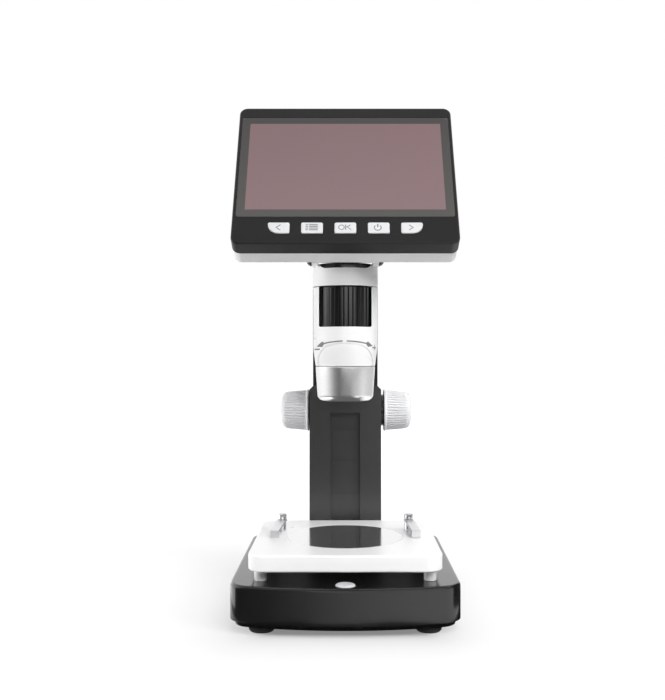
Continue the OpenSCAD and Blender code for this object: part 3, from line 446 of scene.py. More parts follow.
def new_object(name, mesh):
    obj = bpy.data.objects.new(name, mesh)
    bpy.context.scene.collection.objects.link(obj)
    return obj


def modify(obj, kind, **props):
    """Applies a modifier to the object's mesh."""
    mod = obj.modifiers.new(kind.lower(), kind)
    for key, value in props.items():
        setattr(mod, key, value)
    graph = bpy.context.evaluated_depsgraph_get()
    graph.update()
    me = bpy.data.meshes.new_from_object(obj.evaluated_get(graph))
    old = obj.data
    obj.modifiers.clear()
    obj.data = me
    bpy.data.meshes.remove(old)


def carve(obj, *cutters):
    """Takes closed shapes out of an object."""
    for shape in cutters:
        tool = new_object("cutter", shape.mesh("cutter"))
        modify(obj, "BOOLEAN", operation="DIFFERENCE", solver="EXACT", object=tool)
        bpy.data.objects.remove(tool)


def finish_piece(obj, finish, body, slot, replaces=(), bevel=0.0, steps=2, angle=32, place=None):
    """Rounds the edges, sets the normals, and hands the piece to its body."""
    for poly in obj.data.polygons:
        poly.use_smooth = True
    if bevel:
        limit = {"limit_method": "ANGLE", "angle_limit": radians(angle)}
        modify(obj, "BEVEL", width=bevel * MM, segments=steps, **limit)
    obj.data.set_sharp_from_angle(angle=radians(angle + 6))
    modify(obj, "WEIGHTED_NORMAL", keep_sharp=True, weight=60)
    obj.data.materials.clear()
    obj.data.materials.append(FINISHES[finish].mat)
    if place:
        obj.matrix_world = place
    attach(obj, body)
    if replaces:
        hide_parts(*replaces)


def piece(name, shape, slot, body, replaces=(), cutters=(), finish=None, **kw):
    """Visible piece in the finish of its slot, or in one of its own."""
    obj = new_object(name, shape.mesh(name))
    carve(obj, *cutters)
    finish_piece(obj, finish or slot, body, slot, replaces, **kw)


# ---------- base ----------

BASE_HALF_W, BASE_HALF_D = 52.75, 63.5
BASE_R = 11.0
BOW_R = 171.0
BASE_CX = BASE_HALF_W - BASE_R
BASE_BY = BASE_HALF_D - BASE_R
BOW_Y = BOW_R - BASE_HALF_D
BASE_FY = BOW_Y - sqrt((BOW_R - BASE_R) ** 2 - BASE_CX**2)
BOW_FROM = 180 - degrees(atan2(BASE_FY - BOW_Y, BASE_CX))


def base_outline(inset):
    """Rounded rectangle whose front side is a wide bow."""
    r = BASE_R - inset
    step = (540 - 2 * BOW_FROM) / 48
    return (
        arc(BASE_CX, BASE_BY, r, 0, 90, 18)
        + arc(-BASE_CX, BASE_BY, r, 90, 180, 18)
        + arc(-BASE_CX, BASE_FY, r, 180, BOW_FROM, 18)
        + arc(0, BOW_Y, BOW_R - inset, BOW_FROM + step, 540 - BOW_FROM - step, 46)
        + arc(BASE_CX, BASE_FY, r, 180 - BOW_FROM, 0, 18)
    )


def build_base():
    s = Shape()
    rim, hem, low, roof = 1.4, 2.4, 3.2, 19.7
    pairs = [(rim + 0.7, DECK_Z)] + [(i, DECK_Z - d) for i, d in quarter(rim, 7)]
    pairs += [(hem - i, low + hem - d) for i, d in quarter(hem, 7)]
    rings = s.level_rings(base_outline, pairs + [(3.4, low), (3.6, 3.4), (3.6, roof)])
    s.loft(rings)
    well = [(5.05, DECK_Z), (4.85, DECK_Z - 0.08), (4.62, DECK_Z - 0.34), (4.62, roof)]
    hole = s.level_rings(lambda r: circle(0, BUTTON_Y, r, 56), well)
    s.loft(hole)
    s.fill(rings[0], hole[0])
    s.fill(rings[-1], hole[-1])
    piece("base_body", s, "gloss_black", "base", ["base_shell"])

    s = Shape()
    foot = [(0, 0.35, 0), (3.4, 0.35, 0.2), (3.8, 0, 0.2), (5.3, 0, 0.4), (6, 0.9, 0.6)]
    foot += [(6, low, 0.05), (0, low, 0)]
    for x, y in product((-38, 38), (-49, 50)):
        s.lathe(soften(foot, 3), 64, x, y)
    piece("feet_rubber", s, "rubber", "base", ["base_feet"])

    dome = [(0, 22.8), (1.5, 22.79), (2.8, 22.74), (3.6, 22.66), (4.1, 22.5), (4.38, 22.28)]
    stem = [(4.5, 22.0), (4.5, 19.6), (5.4, 19.6), (5.4, 18.2), (1.6, 18.2), (1.6, 13.7), (0, 13.7)]
    s = Shape().lathe(dome + stem, 64, 0, BUTTON_Y)
    piece("deck_push", s, "light_grey", "deck_button", ["base_button"], finish="button_grey")


# ---------- stage ----------


def stage_outline(inset):
    return rect_outline(89 - 2 * inset, 88.4 - 2 * inset, 8 - inset, 14, 0, -9.8)


def build_stage():
    s = Shape()
    rim, under, seat_r, disc_r, disc_t = 0.9, 0.5, 28.78, 28.72, 1.2
    pairs = [(rim + 0.6, STAGE_TOP)] + [(i, STAGE_TOP - d) for i, d in quarter(rim, 6)]
    pairs += [(under - i, STAGE_LOW + under - d) for i, d in quarter(under, 3)]
    pairs += [(2.3, STAGE_LOW), (2.5, STAGE_LOW + 0.2), (2.5, 32.4)]
    rings = s.level_rings(stage_outline, pairs)
    s.loft(rings)
    pairs = [(28.9, STAGE_TOP), (28.82, STAGE_TOP - 0.04)]
    pairs += [(seat_r, STAGE_TOP - 0.2), (seat_r, STAGE_TOP - disc_t)]
    seat = s.level_rings(lambda r: circle(0, LENS_Y, r, 128), pairs)
    s.loft(seat)
    s.fill(rings[0], seat[0])
    s.fill(seat[-1])
    s.fill(rings[-1])
    low = STAGE_LOW + 0.02
    boss = [(0, low), (3.6, low), (3.8, STAGE_LOW + 0.3), (3.8, 32.5), (0, 32.5)]
    for x, y in STAGE_LEGS:
        s.lathe(boss, 40, x, y)
    piece("stage_table", s, "gloss_white", "base", ["stage_plate"])

    low = STAGE_TOP - disc_t
    disc = [(0, STAGE_TOP, 0), (disc_r, STAGE_TOP, 0.1), (disc_r, low, 0.1), (0, low, 0)]
    s = Shape().lathe(soften(disc, 3), 160, 0, LENS_Y)
    piece("stage_mirror", s, "mirror_disc", "base", ["stage_disc"])

    s = Shape()
    leg_r = 2.875
    leg = [(0, DECK_Z, 0), (leg_r, DECK_Z, 0.3), (leg_r, STAGE_LOW, 0.3), (0, STAGE_LOW, 0)]
    for x, y in STAGE_LEGS:
        s.lathe(soften(leg, 3), 48, x, y)
    piece("stage_feet", s, "gloss_white", "base", ["stage_legs"])

    s = Shape()
    flutes = 14

    def head_wave(a, r, z):
        if z < 41.7 or r < 2.2:
            return r
        return r - 0.12 * max(0.0, cos(flutes * a)) ** 4

    pin = [(0, 33.0, 0), (1.5, 33.0, 0), (1.5, 35.0, 0), (2.2, 35.0, 0.1), (2.2, 40.0, 0.1)]
    pin += [(1.5, 40.0, 0), (1.5, 41.1, 0), (2.3, 41.1, 0.15), (2.3, 43.8, 0.4), (0, 43.8, 0)]
    for x in (-CLIP_X, CLIP_X):
        s.lathe(soften(pin, 4), flutes * 8, x, CLIP_Y, head_wave)
    piece("clip_pillars", s, "bright_chrome", "base", ["clip_posts"])

    build_clip(-1, "clip_left", "left_clip")
    build_clip(1, "clip_right", "right_clip")


def build_clip(side, node, body):
    """Pressed clip: an eye, a channel with turned-down sides, and a lip bent down to the stage."""
    toe, under, top, half = 35.05, 40.1, 41.0, 2.2
    eye, wall, reach = 2.5, 0.8, 18.7
    s = Shape()
    start = -degrees(acos(half / eye))
    outline = arc(0, 0, eye, start, 180 - start, 30)
    outline += [(-half, -3.9), (-half, -reach + 0.75), (half, -reach + 0.75), (half, -3.9)]
    s.prism(outline, under, top, [circle(0, 0, 1.56, 40)])
    for sx in (-1, 1):
        x0, x1 = sorted((sx * half, sx * (half - wall)))
        s.block(x0, x1, -reach + 0.4, -4.0, under - 0.9, under + 0.2)
    lip = [(-reach + 1.6, top, 0), (-reach, top, 0.8), (-reach, 36.0, 0.6)]
    lip += [(-reach - 0.5, 35.3, 0.2), (-reach - 0.25, toe, 0.1), (-reach + 0.35, toe, 0.2)]
    lip += [(-reach + 0.9, 36.1, 0.4), (-reach + 0.9, under, 0), (-reach + 1.6, under, 0)]
    first = len(s.v)
    s.prism(soften(lip, 4), -half, half)
    s.turn(Matrix(((0, 0, 1, 0), (1, 0, 0, 0), (0, 1, 0, 0), (0, 0, 0, 1))), first)
    # The strap slopes down from the eye to its lip
    s.v = [
        (x, y, toe + (z - toe) * (1 - 0.38 * min(1, max(0, (-4 - y) / 14.7)))) for x, y, z in s.v
    ]
    s.turn(aimed((side * CLIP_X, CLIP_Y, 0), 7.5 * side, "Z"))
    looks = {"bevel": 0.12, "angle": 40, "finish": "clip_satin"}
    piece(body + "_spring", s, "bright_chrome", body, [node], **looks)


# ---------- column and drive ----------


def build_column():
    half, top, chamfer = COLUMN_HALF, COLUMN_TOP, 1.9
    front, seam, back, groove = 35, 60.2, 62, 0.16
    face = [(-half, DECK_Z), (half, DECK_Z), (half, top - chamfer)]
    face += [(half - chamfer, top), (chamfer - half, top), (-half, top - chamfer)]

    def slab(y0, y1):
        return Shape().prism(face, -y1, -y0).turn(aimed((0, 0, 0), 90))

    flute = Shape().block(-8.1, 8.1, 30, 37.7, DECK_Z - 1, 93.7)
    room = [(-17.9, 36.8), (-9.9, 36.8), (-9.9, 39.5), (9.9, 39.5)]
    room += [(9.9, 36.8), (17.9, 36.8), (17.9, 61), (-17.9, 61)]
    slot = [(-18.0, 36.9), (18.0, 36.9), (18.0, 43.7), (3.4, 43.7)]
    slot += [(3.4, 45.5), (-3.4, 45.5), (-3.4, 43.7), (-18.0, 43.7)]
    cuts = [flute, Shape().prism(room, 25.1, 106.7), Shape().prism(slot, 106, 109)]
    for z in (84.1, 67.5, 49.3):
        cuts.append(Shape().block(-8.1, 8.1, 37.0, 37.85, z - groove, z + groove))
    body = slab(front, seam)
    piece("column_body", body, "satin_black", "base", ["column_front"], cuts, bevel=0.35, steps=3)

    cuts = []
    for x, z in product((-15.7, 15.7), (34, 102)):
        cuts.append(Shape().rod(2.0, 0, 3, 40).turn(aimed((x, back - 1.1, z), -90)))
    cuts += [Shape().block(-11, 11, 61.6, 63, z - 0.5, z + 0.5) for z in (80, 84, 88, 92)]
    cover = slab(seam, back)
    piece("column_cover", cover, "satin_black", "base", ["column_back"], cuts, bevel=0.3, steps=3)


def groove(turned, middle, half, steep):
    """Depth from 0 to 1 of a wheel's groove, for the angle in rib pitches of 2 pi."""
    p = (turned / (2 * pi)) % 1
    return min(1, max(0.0, 1 - abs(p - middle) / half) * steep)


def knob_profile():
    rim = [(8.7, 0.0), (11.3, 0.0), (11.55, 0.08), (11.65, 0.3), (11.65, 0.85)]
    rim += [(11.55, 1.05), (11.35, 1.15)]
    body = [(11.25, 1.45), (11.18, 2.2), (10.98, 4.6), (10.78, 7.0), (10.58, 9.4), (10.42, 11.1)]
    nose = [(10.3, 12.0), (10.05, 12.9), (9.6, 13.8), (8.9, 14.5), (7.9, 15.0), (6.9, 15.24)]
    face = [(6.2, 15.3), (5.6, 15.22), (5.2, 14.95), (3.0, 14.9), (0, 14.9)]
    return [(8.7, 6.0), *rim, *body, *nose, *face]


def build_drive():
    ribs = 44
    mirror = Matrix.Scale(-1, 4, (1, 0, 0))

    def knob_wave(a, r, z):
        if z < 1.3 or z > 14.2 or r < 8.8:
            return r
        depth = 0.85 * min(1, (z - 1.3) / 0.5) * min(1, max(0, (13.6 - z) / 1.6))
        return r - depth * groove(a * ribs, 0.75, 0.25, 1.7)

    for side, node in ((-1, "knob_left"), (1, "knob_right")):
        s = Shape().lathe(knob_profile(), ribs * 9, wave=knob_wave)
        s.turn(aimed((21.5 if side > 0 else 20.4, SHAFT_Y, SHAFT_Z), 90, "Y"))
        if side < 0:
            s.turn(mirror)
        piece(node + "_grip", s, "light_grey", "focus_knobs", [node], angle=50)

    s = Shape()
    for side, t in ((-1, 0.5), (1, 1.6)):
        start = len(s.v)
        bush = [(2.1, 0, 0), (8.75, 0, 0), (8.75, t, 0.25), (7.6, t, 0.1)]
        bush += [(7.4, t - 0.2, 0.1), (2.1, t - 0.2, 0)]
        s.lathe(soften(bush, 3), 72, closed=True)
        s.turn(aimed((COLUMN_HALF, SHAFT_Y, SHAFT_Z), 90, "Y"), start)
        if side < 0:
            s.turn(mirror, start)
    piece("shaft_bearings", s, "black_polymer", "base", ["shaft_bushes"])


def build_post():
    outer, inner, low = 17.8, 15.6, 72.0
    rail = [(-outer, 37.0), (-inner, 37.0), (-inner, 39.8), (inner, 39.8), (inner, 37.0)]
    rail += [(outer, 37.0), (outer, 43.5), (inner, 43.5), (inner, 41.4)]
    rail += [(-inner, 41.4), (-inner, 43.5), (-outer, 43.5)]
    s = Shape().prism(rail, low, ARM_TOP)
    holes = []
    for x, z in product((-7, 7), (157, 164)):
        holes.append(Shape().rod(1.35, -3, 3, 24).turn(aimed((x, RAIL_BACK, z), 90)))
    for teeth in (-3, 20):
        z = SHAFT_Z + teeth * pi * 0.8
        holes.append(Shape().rod(1.9, -3, 0, 24).turn(aimed((0, RAIL_BACK, z), 90)))
    piece("post_rail", s, "black_polymer", "head", ["post"], holes, bevel=0.3, steps=3)

    s = Shape().block(-11, 11, LENS_Y, 39.8, ARM_LOW, ARM_TOP)
    barrel = Shape().rod(15.97, 150, 170, 128, 0, LENS_Y)
    collar = Shape().rod(16.27, 159.2, 170, 128, 0, LENS_Y)
    piece("arm_beam", s, "satin_black", "head", ["arm"], [barrel, collar], bevel=0.7, steps=4)


# ---------- head ----------

SHELL_TOP = 158.85
CONE_TOP, SHOULDER_TOP = 127.4, 129.6
ARCH_HALF, ARCH_RISE, ARCH_POWER = 13.6, 11.3, 2.7


def shell_radius(z):
    """Outside of the barrel: a slight cone, an eased shoulder, then a straight cylinder."""
    if z >= SHOULDER_TOP:
        return BARREL_R
    low_r, rise, run = 14.8, 1.15, 8.5
    if z <= CONE_TOP:
        return low_r + (z - SHELL_LOW) * rise / run
    t = (z - CONE_TOP) / 2.2
    low = low_r + 7.4 * rise / run
    slope = rise / run * 2.2
    return low + slope * t + (BARREL_R - low - slope) * t * t * (3 - 2 * t)


def arch_low(a):
    """Height of the shell's lower edge at an angle from straight ahead."""
    z = 125.0
    for _ in range(60):
        x = abs(shell_radius(z) * sin(a))
        goal = SHELL_LOW
        if x < ARCH_HALF:
            goal += ARCH_RISE * max(0.0, 1 - (x / ARCH_HALF) ** ARCH_POWER) ** (1 / ARCH_POWER)
        z = 0.5 * (z + goal)
    return z


def hoop(profile, steps, wave=None):
    """Closed profile turned round the lens's axis."""
    return Shape().lathe(profile, steps, 0, LENS_Y, wave, closed=True)


def build_shell():
    """Thin barrel with an arch in its front and a window for the focus wheel."""
    side = degrees(asin(ARCH_HALF / shell_radius(120.05)))
    angles = [-side + 2 * side * i / 110 for i in range(111)]
    angles += [side + (360 - 2 * side) * i / 84 for i in range(1, 84)]
    s = Shape()
    staves = []
    for deg in angles:
        a = radians(deg)
        low = arch_low(a) if deg <= side else SHELL_LOW
        start = 129.7 if low < 129.0 else 132.0
        heights = [low + (start - low) * k / 8 for k in range(8)]
        heights += [start + (SHELL_TOP - start) * k / 14 for k in range(15)]
        places = [(shell_radius(z), z) for z in heights]
        staves.append(s.ring([(r * sin(a), LENS_Y - r * cos(a), z) for r, z in places]))
    for a, b in zip(staves, staves[1:] + staves[:1]):
        s.bridge(a, b, closed=False)
    obj = new_object("barrel_shell", s.mesh("barrel_shell"))
    # Half as thick round the arch, so that the line between shell and ring stays fine
    wall = obj.vertex_groups.new(name="wall")
    for vert in obj.data.vertices:
        share = 0.5 + 0.5 * min(1, max(0, (vert.co.z / MM - 133) / 3))
        wall.add([vert.index], share, "REPLACE")
    flags = {"use_even_offset": True, "vertex_group": "wall"}
    modify(obj, "SOLIDIFY", thickness=0.45 * MM, offset=-1, **flags)
    obj.vertex_groups.clear()
    window = Shape().prism(rect_outline(25.8, 40, 0.9, 6, 0, 139.2 + 20), 5, 40)
    window.turn(aimed((0, 0, 0), 90))
    carve(obj, window.turn(Matrix.Translation((0, LENS_Y + 9, 0))))
    looks = {"bevel": 0.18, "steps": 3, "angle": 45}
    finish_piece(obj, "gloss_white", "head", "gloss_white", ["head_shell"], **looks)


def drawn_in(points, inset):
    """Outline pulled towards its middle."""
    cx, cy = (sum(p[k] for p in points) / len(points) for k in (0, 1))
    out = []
    for x, y in points:
        d = Vector((x - cx, y - cy))
        k = 1 - inset / d.length
        out.append((cx + d.x * k, cy + d.y * k))
    return out


def build_collar():
    """Cup on top of the barrel with two hinge ears, a black seat that stands in for the display's
    shadow, and the cable's grommet.
    """
    low, roof, inner_r, outer_r, ear_r = 159.2, 168.7, 14.65, 16.25, 5.2
    cup = [(inner_r, low, 0.2), (outer_r, low, 0.25), (outer_r, 170.3, 2.6), (3.3, 170.3, 0.2)]
    cup += [(3.3, roof, 0.1), (inner_r, roof, 0.1)]
    s = hoop(soften(cup, 8, closed=True), 128)
    start, face_start = len(s.v), len(s.f)
    turns = [radians(t) for t in range(40, 231, 10)]
    ear = [(HINGE_Y + ear_r * cos(t), HINGE_Z + ear_r * sin(t)) for t in turns]
    ear += [(-19.4, 168.9), (-10.5, 168.9), (-10.5, 170.2)]
    places = ((13.2, 0.3), (13.5, 0), (16.0, 0), (16.3, 0.3))
    loops = [s.ring([(x, y, z) for y, z in drawn_in(ear, inset)]) for x, inset in places]
    s.loft(loops)
    s.fill(loops[0])
    s.fill(loops[-1])
    s.copy_mirrored(start, face_start)
    # The scoop lowers the cup's front to show the black seat: a dark piece in place of the shadow
    # under the display
    shadow_scoop = Shape().prism(rect_outline(25.4, 8, [3.2, 3.2, 1, 1], 8, 0, 171.7), 5, 40)
    shadow_scoop.turn(aimed((0, 0, 0), 90)).turn(Matrix.Translation((0, LENS_Y - 3.2, 0)))
    looks = {"bevel": 0.3, "steps": 3, "angle": 50}
    piece("collar_cup", s, "gloss_white", "head", ["head_collar"], [shadow_scoop], **looks)

    # Black seat: a dark piece standing in for the shadow the display casts on the collar's top
    seat = [(12.2, 166.6, 0), (14.9, 166.6, 0), (14.9, 170.27, 0.5), (12.2, 170.27, 0.2)]
    s = hoop(soften(seat, 3, closed=True), 96)
    piece("shadow_seat", s, "black_polymer", "head")

    plug = [(1.6, 169.5, 0), (3.25, 169.5, 0), (3.25, 170.35, 0.1), (3.9, 170.35, 0.1)]
    plug += [(3.9, 170.9, 0.25), (1.6, 170.9, 0.2)]
    s = hoop(soften(plug, 3, closed=True), 40)
    piece("cable_grommet", s, "black_polymer", "head")


def build_rings():
    """Focus wheel, brightness ring and lamp cone."""
    ribs, bore, rim = 40, 10.1, 14.2

    def wheel_wave(a, r, z):
        if r < 13.3 or z < 138.6 or z > 158.6:
            return r
        return r - 0.35 * groove(a * ribs, 0.67, 0.13, 1.6)

    wheel = [(bore, 138.3), (13.6, 138.3), (13.95, 138.35)]
    wheel += [(rim, z) for z in (138.6, 138.9, 144, 151, 158.3, 158.6)]
    wheel += [(13.95, 158.85), (13.6, 158.9), (bore, 158.9)]
    s = hoop(wheel, ribs * 12, wheel_wave)
    looks = {"angle": 22, "finish": "wheel_black"}
    piece("focus_ring_grip", s, "black_polymer", "focus_ring", ["focus_wheel"], **looks)

    lip = soften([(bore, 116.4, 0), (12.9, 116.4, 0), (12.9, 119.9, 0), (13.6, 119.9, 0.1)], 2)
    outer = [(shell_radius(z) - 0.28, z) for z in [120.15 + 0.7 * i for i in range(19)]]
    sleeve = [*lip, *outer, (15.4, 135.0), (bore, 135.0)]
    s = hoop(sleeve, 128)
    piece("dimmer_sleeve", s, "matt_white", "dimmer", ["dimmer_ring"], finish="gloss_white")

    low, mouth_r, edge = 102.8, 13.95, 3.2
    cone = [(9.8, 104.2), (9.8, low)] + arc(mouth_r - edge, low + edge, edge, -90, 0, 14)
    cone += [(14.15, 109.5), (14.4, 113.0), (14.63, 116.4), (14.76, 119.3), (14.68, 119.62)]
    cone += [(14.45, 119.85), (14.1, 119.9), (12.9, 119.9), (12.9, 107.8), (11.2, 104.4)]
    s = hoop(cone, 160)
    piece("lamp_cone", s, "satin_silver", "dimmer", ["silver_cone"], angle=34)


# ---------- printed marks ----------

PRINT_LIFT = 0.02


def stroke(points, width, closed):
    """Left and right edges of a flat line of the given width."""
    pts = [Vector(p) for p in points]
    n = len(pts)
    left, right = [], []
    for i, p1 in enumerate(pts):
        p0 = pts[i - 1] if closed or i else p1
        p2 = pts[(i + 1) % n] if closed or i < n - 1 else p1
        d0 = (p1 - p0).normalized() if (p1 - p0).length > 1e-9 else (p2 - p1).normalized()
        d1 = (p2 - p1).normalized() if (p2 - p1).length > 1e-9 else d0
        m = (Vector((-d0.y, d0.x)) + Vector((-d1.y, d1.x))).normalized()
        k = width / 2 / max(0.35, m.dot(Vector((-d1.y, d1.x))))
        left.append(p1 + m * k)
        right.append(p1 - m * k)
    return left, right


class Print:
    """Thin raised print laid on a surface: wrap(u, v, lift) gives the point on it."""

    def __init__(self, wrap):
        self.shape = Shape()
        self.wrap = wrap

    def ring(self, places):
        return self.shape.ring([self.wrap(*p) for p in places])

    def cap(self, rings):
        self.shape.f += [tuple(rings[0]), tuple(rings[-1])]

    def line(self, points, width, closed=False):
        rings = []
        for a, b in zip(*stroke(points, width, closed)):
            rings.append(self.ring([(*a, 0), (*a, PRINT_LIFT), (*b, PRINT_LIFT), (*b, 0)]))
        if closed:
            rings.append(rings[0])
        self.shape.loft(rings)
        if not closed:
            self.cap(rings)

    def blade(self, cuts):
        """Solid head drawn as upright cuts: across, height of its middle, half its height."""
        rings = []
        for u, v, half in cuts:
            rows = [v - half + 2 * half * k / 8 for k in range(9)]
            back = [(u, w, 0) for w in rows]
            rings.append(self.ring(back + [(u, w, PRINT_LIFT) for w in reversed(rows)]))
        self.shape.loft(rings)
        self.cap(rings)


def build_prints():
    """Double turning arrow, with a minus sign on its left and a plus sign on its right."""

    def wrap(u, v, lift):
        r = shell_radius(v) + lift - 0.005
        a = u / BARREL_R
        return (r * sin(a), LENS_Y - r * cos(a), v)

    p = Print(wrap)
    arrows = (
        # Side, start of the shaft, its end, then the widest cut and the tip of the head
        (-1, 1.3, (11.4, 131.05, 0.4), (12.5, 130.75, 1.35), (17.0, 129.6, 0.08)),
        (1, 0.7, (11.0, 131.1, 0.4), (12.2, 130.8, 1.3), (15.7, 129.9, 0.08)),
    )
    for side, start, neck, wide, tip in arrows:
        bow = [start + (neck[0] - start) * i / 16 for i in range(17)]
        p.line([(side * u, 132.25 - 1.45 * (u / 12.4) ** 2) for u in bow], 0.66)
        cuts = []
        for near, far in ((neck, wide), (wide, tip)):
            for k in range(7):
                u, v, half = (c0 + (c1 - c0) * k / 6 for c0, c1 in zip(near, far))
                cuts.append((side * u, v, half))
        p.blade(cuts)
    p.line([(-20.4 + 0.6 * i, 128.3) for i in range(11)], 0.7)
    p.line([(15.8 + 0.42 * i, 129.2 - 0.02 * i) for i in range(11)], 0.6)
    p.line([(17.9, 130.5 - 0.26 * i) for i in range(11)], 0.6)
    piece("turn_marks", p.shape, "black_polymer", "head", finish="printed_grey")


# ---------- screen ----------


def housing_outline(inset):
    return rect_outline(106.6 - 2 * inset, 85.1 - 2 * inset, 4.0 - inset, 12, 0, HOUSING_MID)


def back_outline(inset):
    r = 4.0 - inset * 0.5
    return rect_outline(105.8 - 2 * inset, 84.3 - 2 * inset, r, 14, 0, HOUSING_MID)


def glass_outline(grow):
    r = max(0.3, 1.2 + grow)
    return rect_outline(GLASS_W + 2 * grow, GLASS_H + 2 * grow, r, 8, 0, GLASS_MID)


def key_outline(index, grow):
    """Key with small corners, and a big one where it is the first or last of the row."""
    big, small = max(0.4, 5.2 + grow), max(0.35, 0.9 + grow)
    radii = [big if index == -2 else small, big if index == 2 else small, small, small]
    w, h = KEY_W + 2 * grow, KEY_H + 2 * grow
    return rect_outline(w, h, radii, 10, index * KEY_PITCH, KEY_MID)


def build_screen():
    s = Shape()
    rim, seam, floor = 0.9, 8.2, 2.2
    pairs = [(rim + 0.3, 0.0)] + quarter(rim, 6) + [(0, 7.9), (0.12, 8.12), (0.3, seam)]
    rings = s.upright_rings(housing_outline, pairs + [(1.7, seam), (1.7, floor)])
    s.loft(rings)
    ledge = 1.15
    well = s.upright_rings(glass_outline, [(0.2, 0.0), (0.1, 0.1), (0.1, ledge)])
    opening = rect_outline(97.4, 57, 0.8, 8, 0, GLASS_MID)
    well += s.upright_rings(lambda _: opening, [(0, ledge), (0, floor)])
    s.loft(well)
    holes = [well]
    for index in KEYS.values():
        pairs = [(0.3, 0.0), (0.17, 0.06), (0.12, 0.22), (0.12, floor)]
        holes.append(s.upright_rings(lambda grow: key_outline(index, grow), pairs))
        s.loft(holes[-1])
    s.fill(rings[0], *(hole[0] for hole in holes))
    s.fill(rings[-1], *(hole[-1] for hole in holes))
    s.turn(SCREEN)
    piece("front_frame", s, "satin_black", "screen", ["screen_bezel"], finish="housing_black")

    s = Shape()
    pairs = [(-1.2, 0.05), (-0.12, 0.05), (-0.03, 0.09), (0.0, 0.17), (0.0, 1.1)]
    loops = s.upright_rings(glass_outline, pairs)
    s.loft(loops)
    s.fill(loops[0])
    s.fill(loops[-1])
    # Placed by its own matrix, so that its texture runs in the housing's axes
    place = Matrix.Scale(MM, 4) @ SCREEN @ Matrix.Scale(1 / MM, 4)
    piece("display_glass", s, "cover_glass", "screen", ["cover_glass"], place=place)

    build_housing_back()
    for node, index in KEYS.items():
        build_key(node, index)


def build_housing_back():
    s = Shape()
    seam, back, edge, wall = 8.2, 16.2, 0.9, 1.8
    pairs = [(0.12, seam), (0.0, 8.35), (0.0, 12.0)]
    pairs += [(i, back - d) for i, d in reversed(quarter(edge, 8))]
    outer = s.upright_rings(back_outline, pairs + [(1.5, back)])
    s.loft(outer)
    s.fill(outer[-1])
    inside = s.upright_rings(back_outline, [(wall, seam), (wall, 14.4)])
    s.loft(inside)
    s.fill(inside[-1])
    s.bridge(outer[0], inside[0])
    s.turn(SCREEN)
    cutters = []
    for x, z in product((-47.7, 47.7), (-13.8, 62.1)):
        cutters.append(Shape().rod(2.0, -2.4, 2, 40).turn(SCREEN @ aimed((x, back, z), -90)))
    socket = Shape().block(45.3, 56, 9.9, 13.3, 15.5, 24.5).turn(SCREEN)
    looks = {"bevel": 0.18, "angle": 50, "finish": "housing_white"}
    piece("rear_shell", s, "matt_white", "screen", ["screen_back"], [*cutters, socket], **looks)


def build_key(node, index):
    body = node[4:] + "_key"
    middle, neck, foot = index * KEY_PITCH, 2.3, 3.1
    s = Shape()
    crown = [(-1.5, -0.5), (-0.5, -0.49), (-0.26, -0.44), (-0.1, -0.34), (-0.02, -0.2)]
    crown += [(0.0, -0.05), (0.0, neck)]
    loops = s.upright_rings(lambda grow: key_outline(index, grow), crown)
    s.loft(loops)
    s.fill(loops[0])
    flange = rect_outline(12.4, 7.9, 0.8, 6, middle, KEY_MID)
    skirt = s.upright_rings(lambda _: flange, [(0, neck), (0, foot)])
    s.loft(skirt)
    s.fill(skirt[-1])
    s.fill(skirt[0], loops[-1])
    s.turn(SCREEN)
    piece(node + "_cap", s, "matt_white", body, [node], angle=40, finish="key_white")

    def wrap(u, v, lift):
        return tuple(SCREEN @ Vector((middle + u, -0.492 - lift, KEY_MID + v)))

    p = Print(wrap)
    legend(p, index)
    piece(node + "_legend", p.shape, "matt_white", body, finish="key_legend")


def legend(p, index):
    """Generic symbol of each key: back, list, OK, power, next."""
    if index == -2:
        p.line([(0.9, 1.7), (-1.1, 0.1), (0.9, -1.5)], 0.5)
    elif index == 2:
        p.line([(-1.4, 1.6), (0.5, 0.1), (-1.4, -1.4)], 0.5)
    elif index == -1:
        for k in range(4):
            v = 1.65 - 0.97 * k
            p.line([(-3.0, v), (-1.75, v)], 0.55)
            p.line([(-1.35, v), (2.75, v)], 0.62)
    elif index == 0:
        turns = [2 * pi * i / 28 for i in range(28)]
        ring = [(-1.8 + 1.3 * cos(a), 0.2 + 1.3 * sin(a)) for a in turns]
        p.line(ring, 0.45, closed=True)
        p.line([(0.15, 1.7), (0.15, -1.3)], 0.5)
        p.line([(2.4, 1.6), (0.5, 0.2)], 0.45)
        p.line([(0.95, 0.5), (2.6, -1.2)], 0.45)
    else:
        turns = [radians(a) for a in range(132, 409, 12)]
        p.line([(-0.45 + 1.6 * cos(a), 0.05 + 1.6 * sin(a)) for a in turns], 0.5)
        p.line([(-0.45, 2.1), (-0.45, 0.3)], 0.7)


# ---------- studio (in metres) ----------

WHITE = (1, 1, 1, 1)


def ray_mix(t, lit, shown):
    """Camera, mirror and glass rays see one shader, and the light on the object is the other."""
    rays = t.node("LightPath").outputs
    total = t.math("ADD", rays["Is Camera Ray"], rays["Is Glossy Ray"], clamp=True)
    total = t.math("ADD", total, rays["Is Transmission Ray"], clamp=True)
    return t.node("MixShader", {0: total, 1: lit, 2: shown}).outputs[0]


def build_world(level):
    """Dim light from all round, shown as plain white."""
    world = bpy.data.worlds.new("studio")
    bpy.context.scene.world = world
    t = Tree(world)
    lit = t.node("Background", {"Color": WHITE, "Strength": level}).outputs[0]
    shown = t.node("Background", {"Color": WHITE, "Strength": 1.0}).outputs[0]
    t.node("OutputWorld", {"Surface": ray_mix(t, lit, shown)})


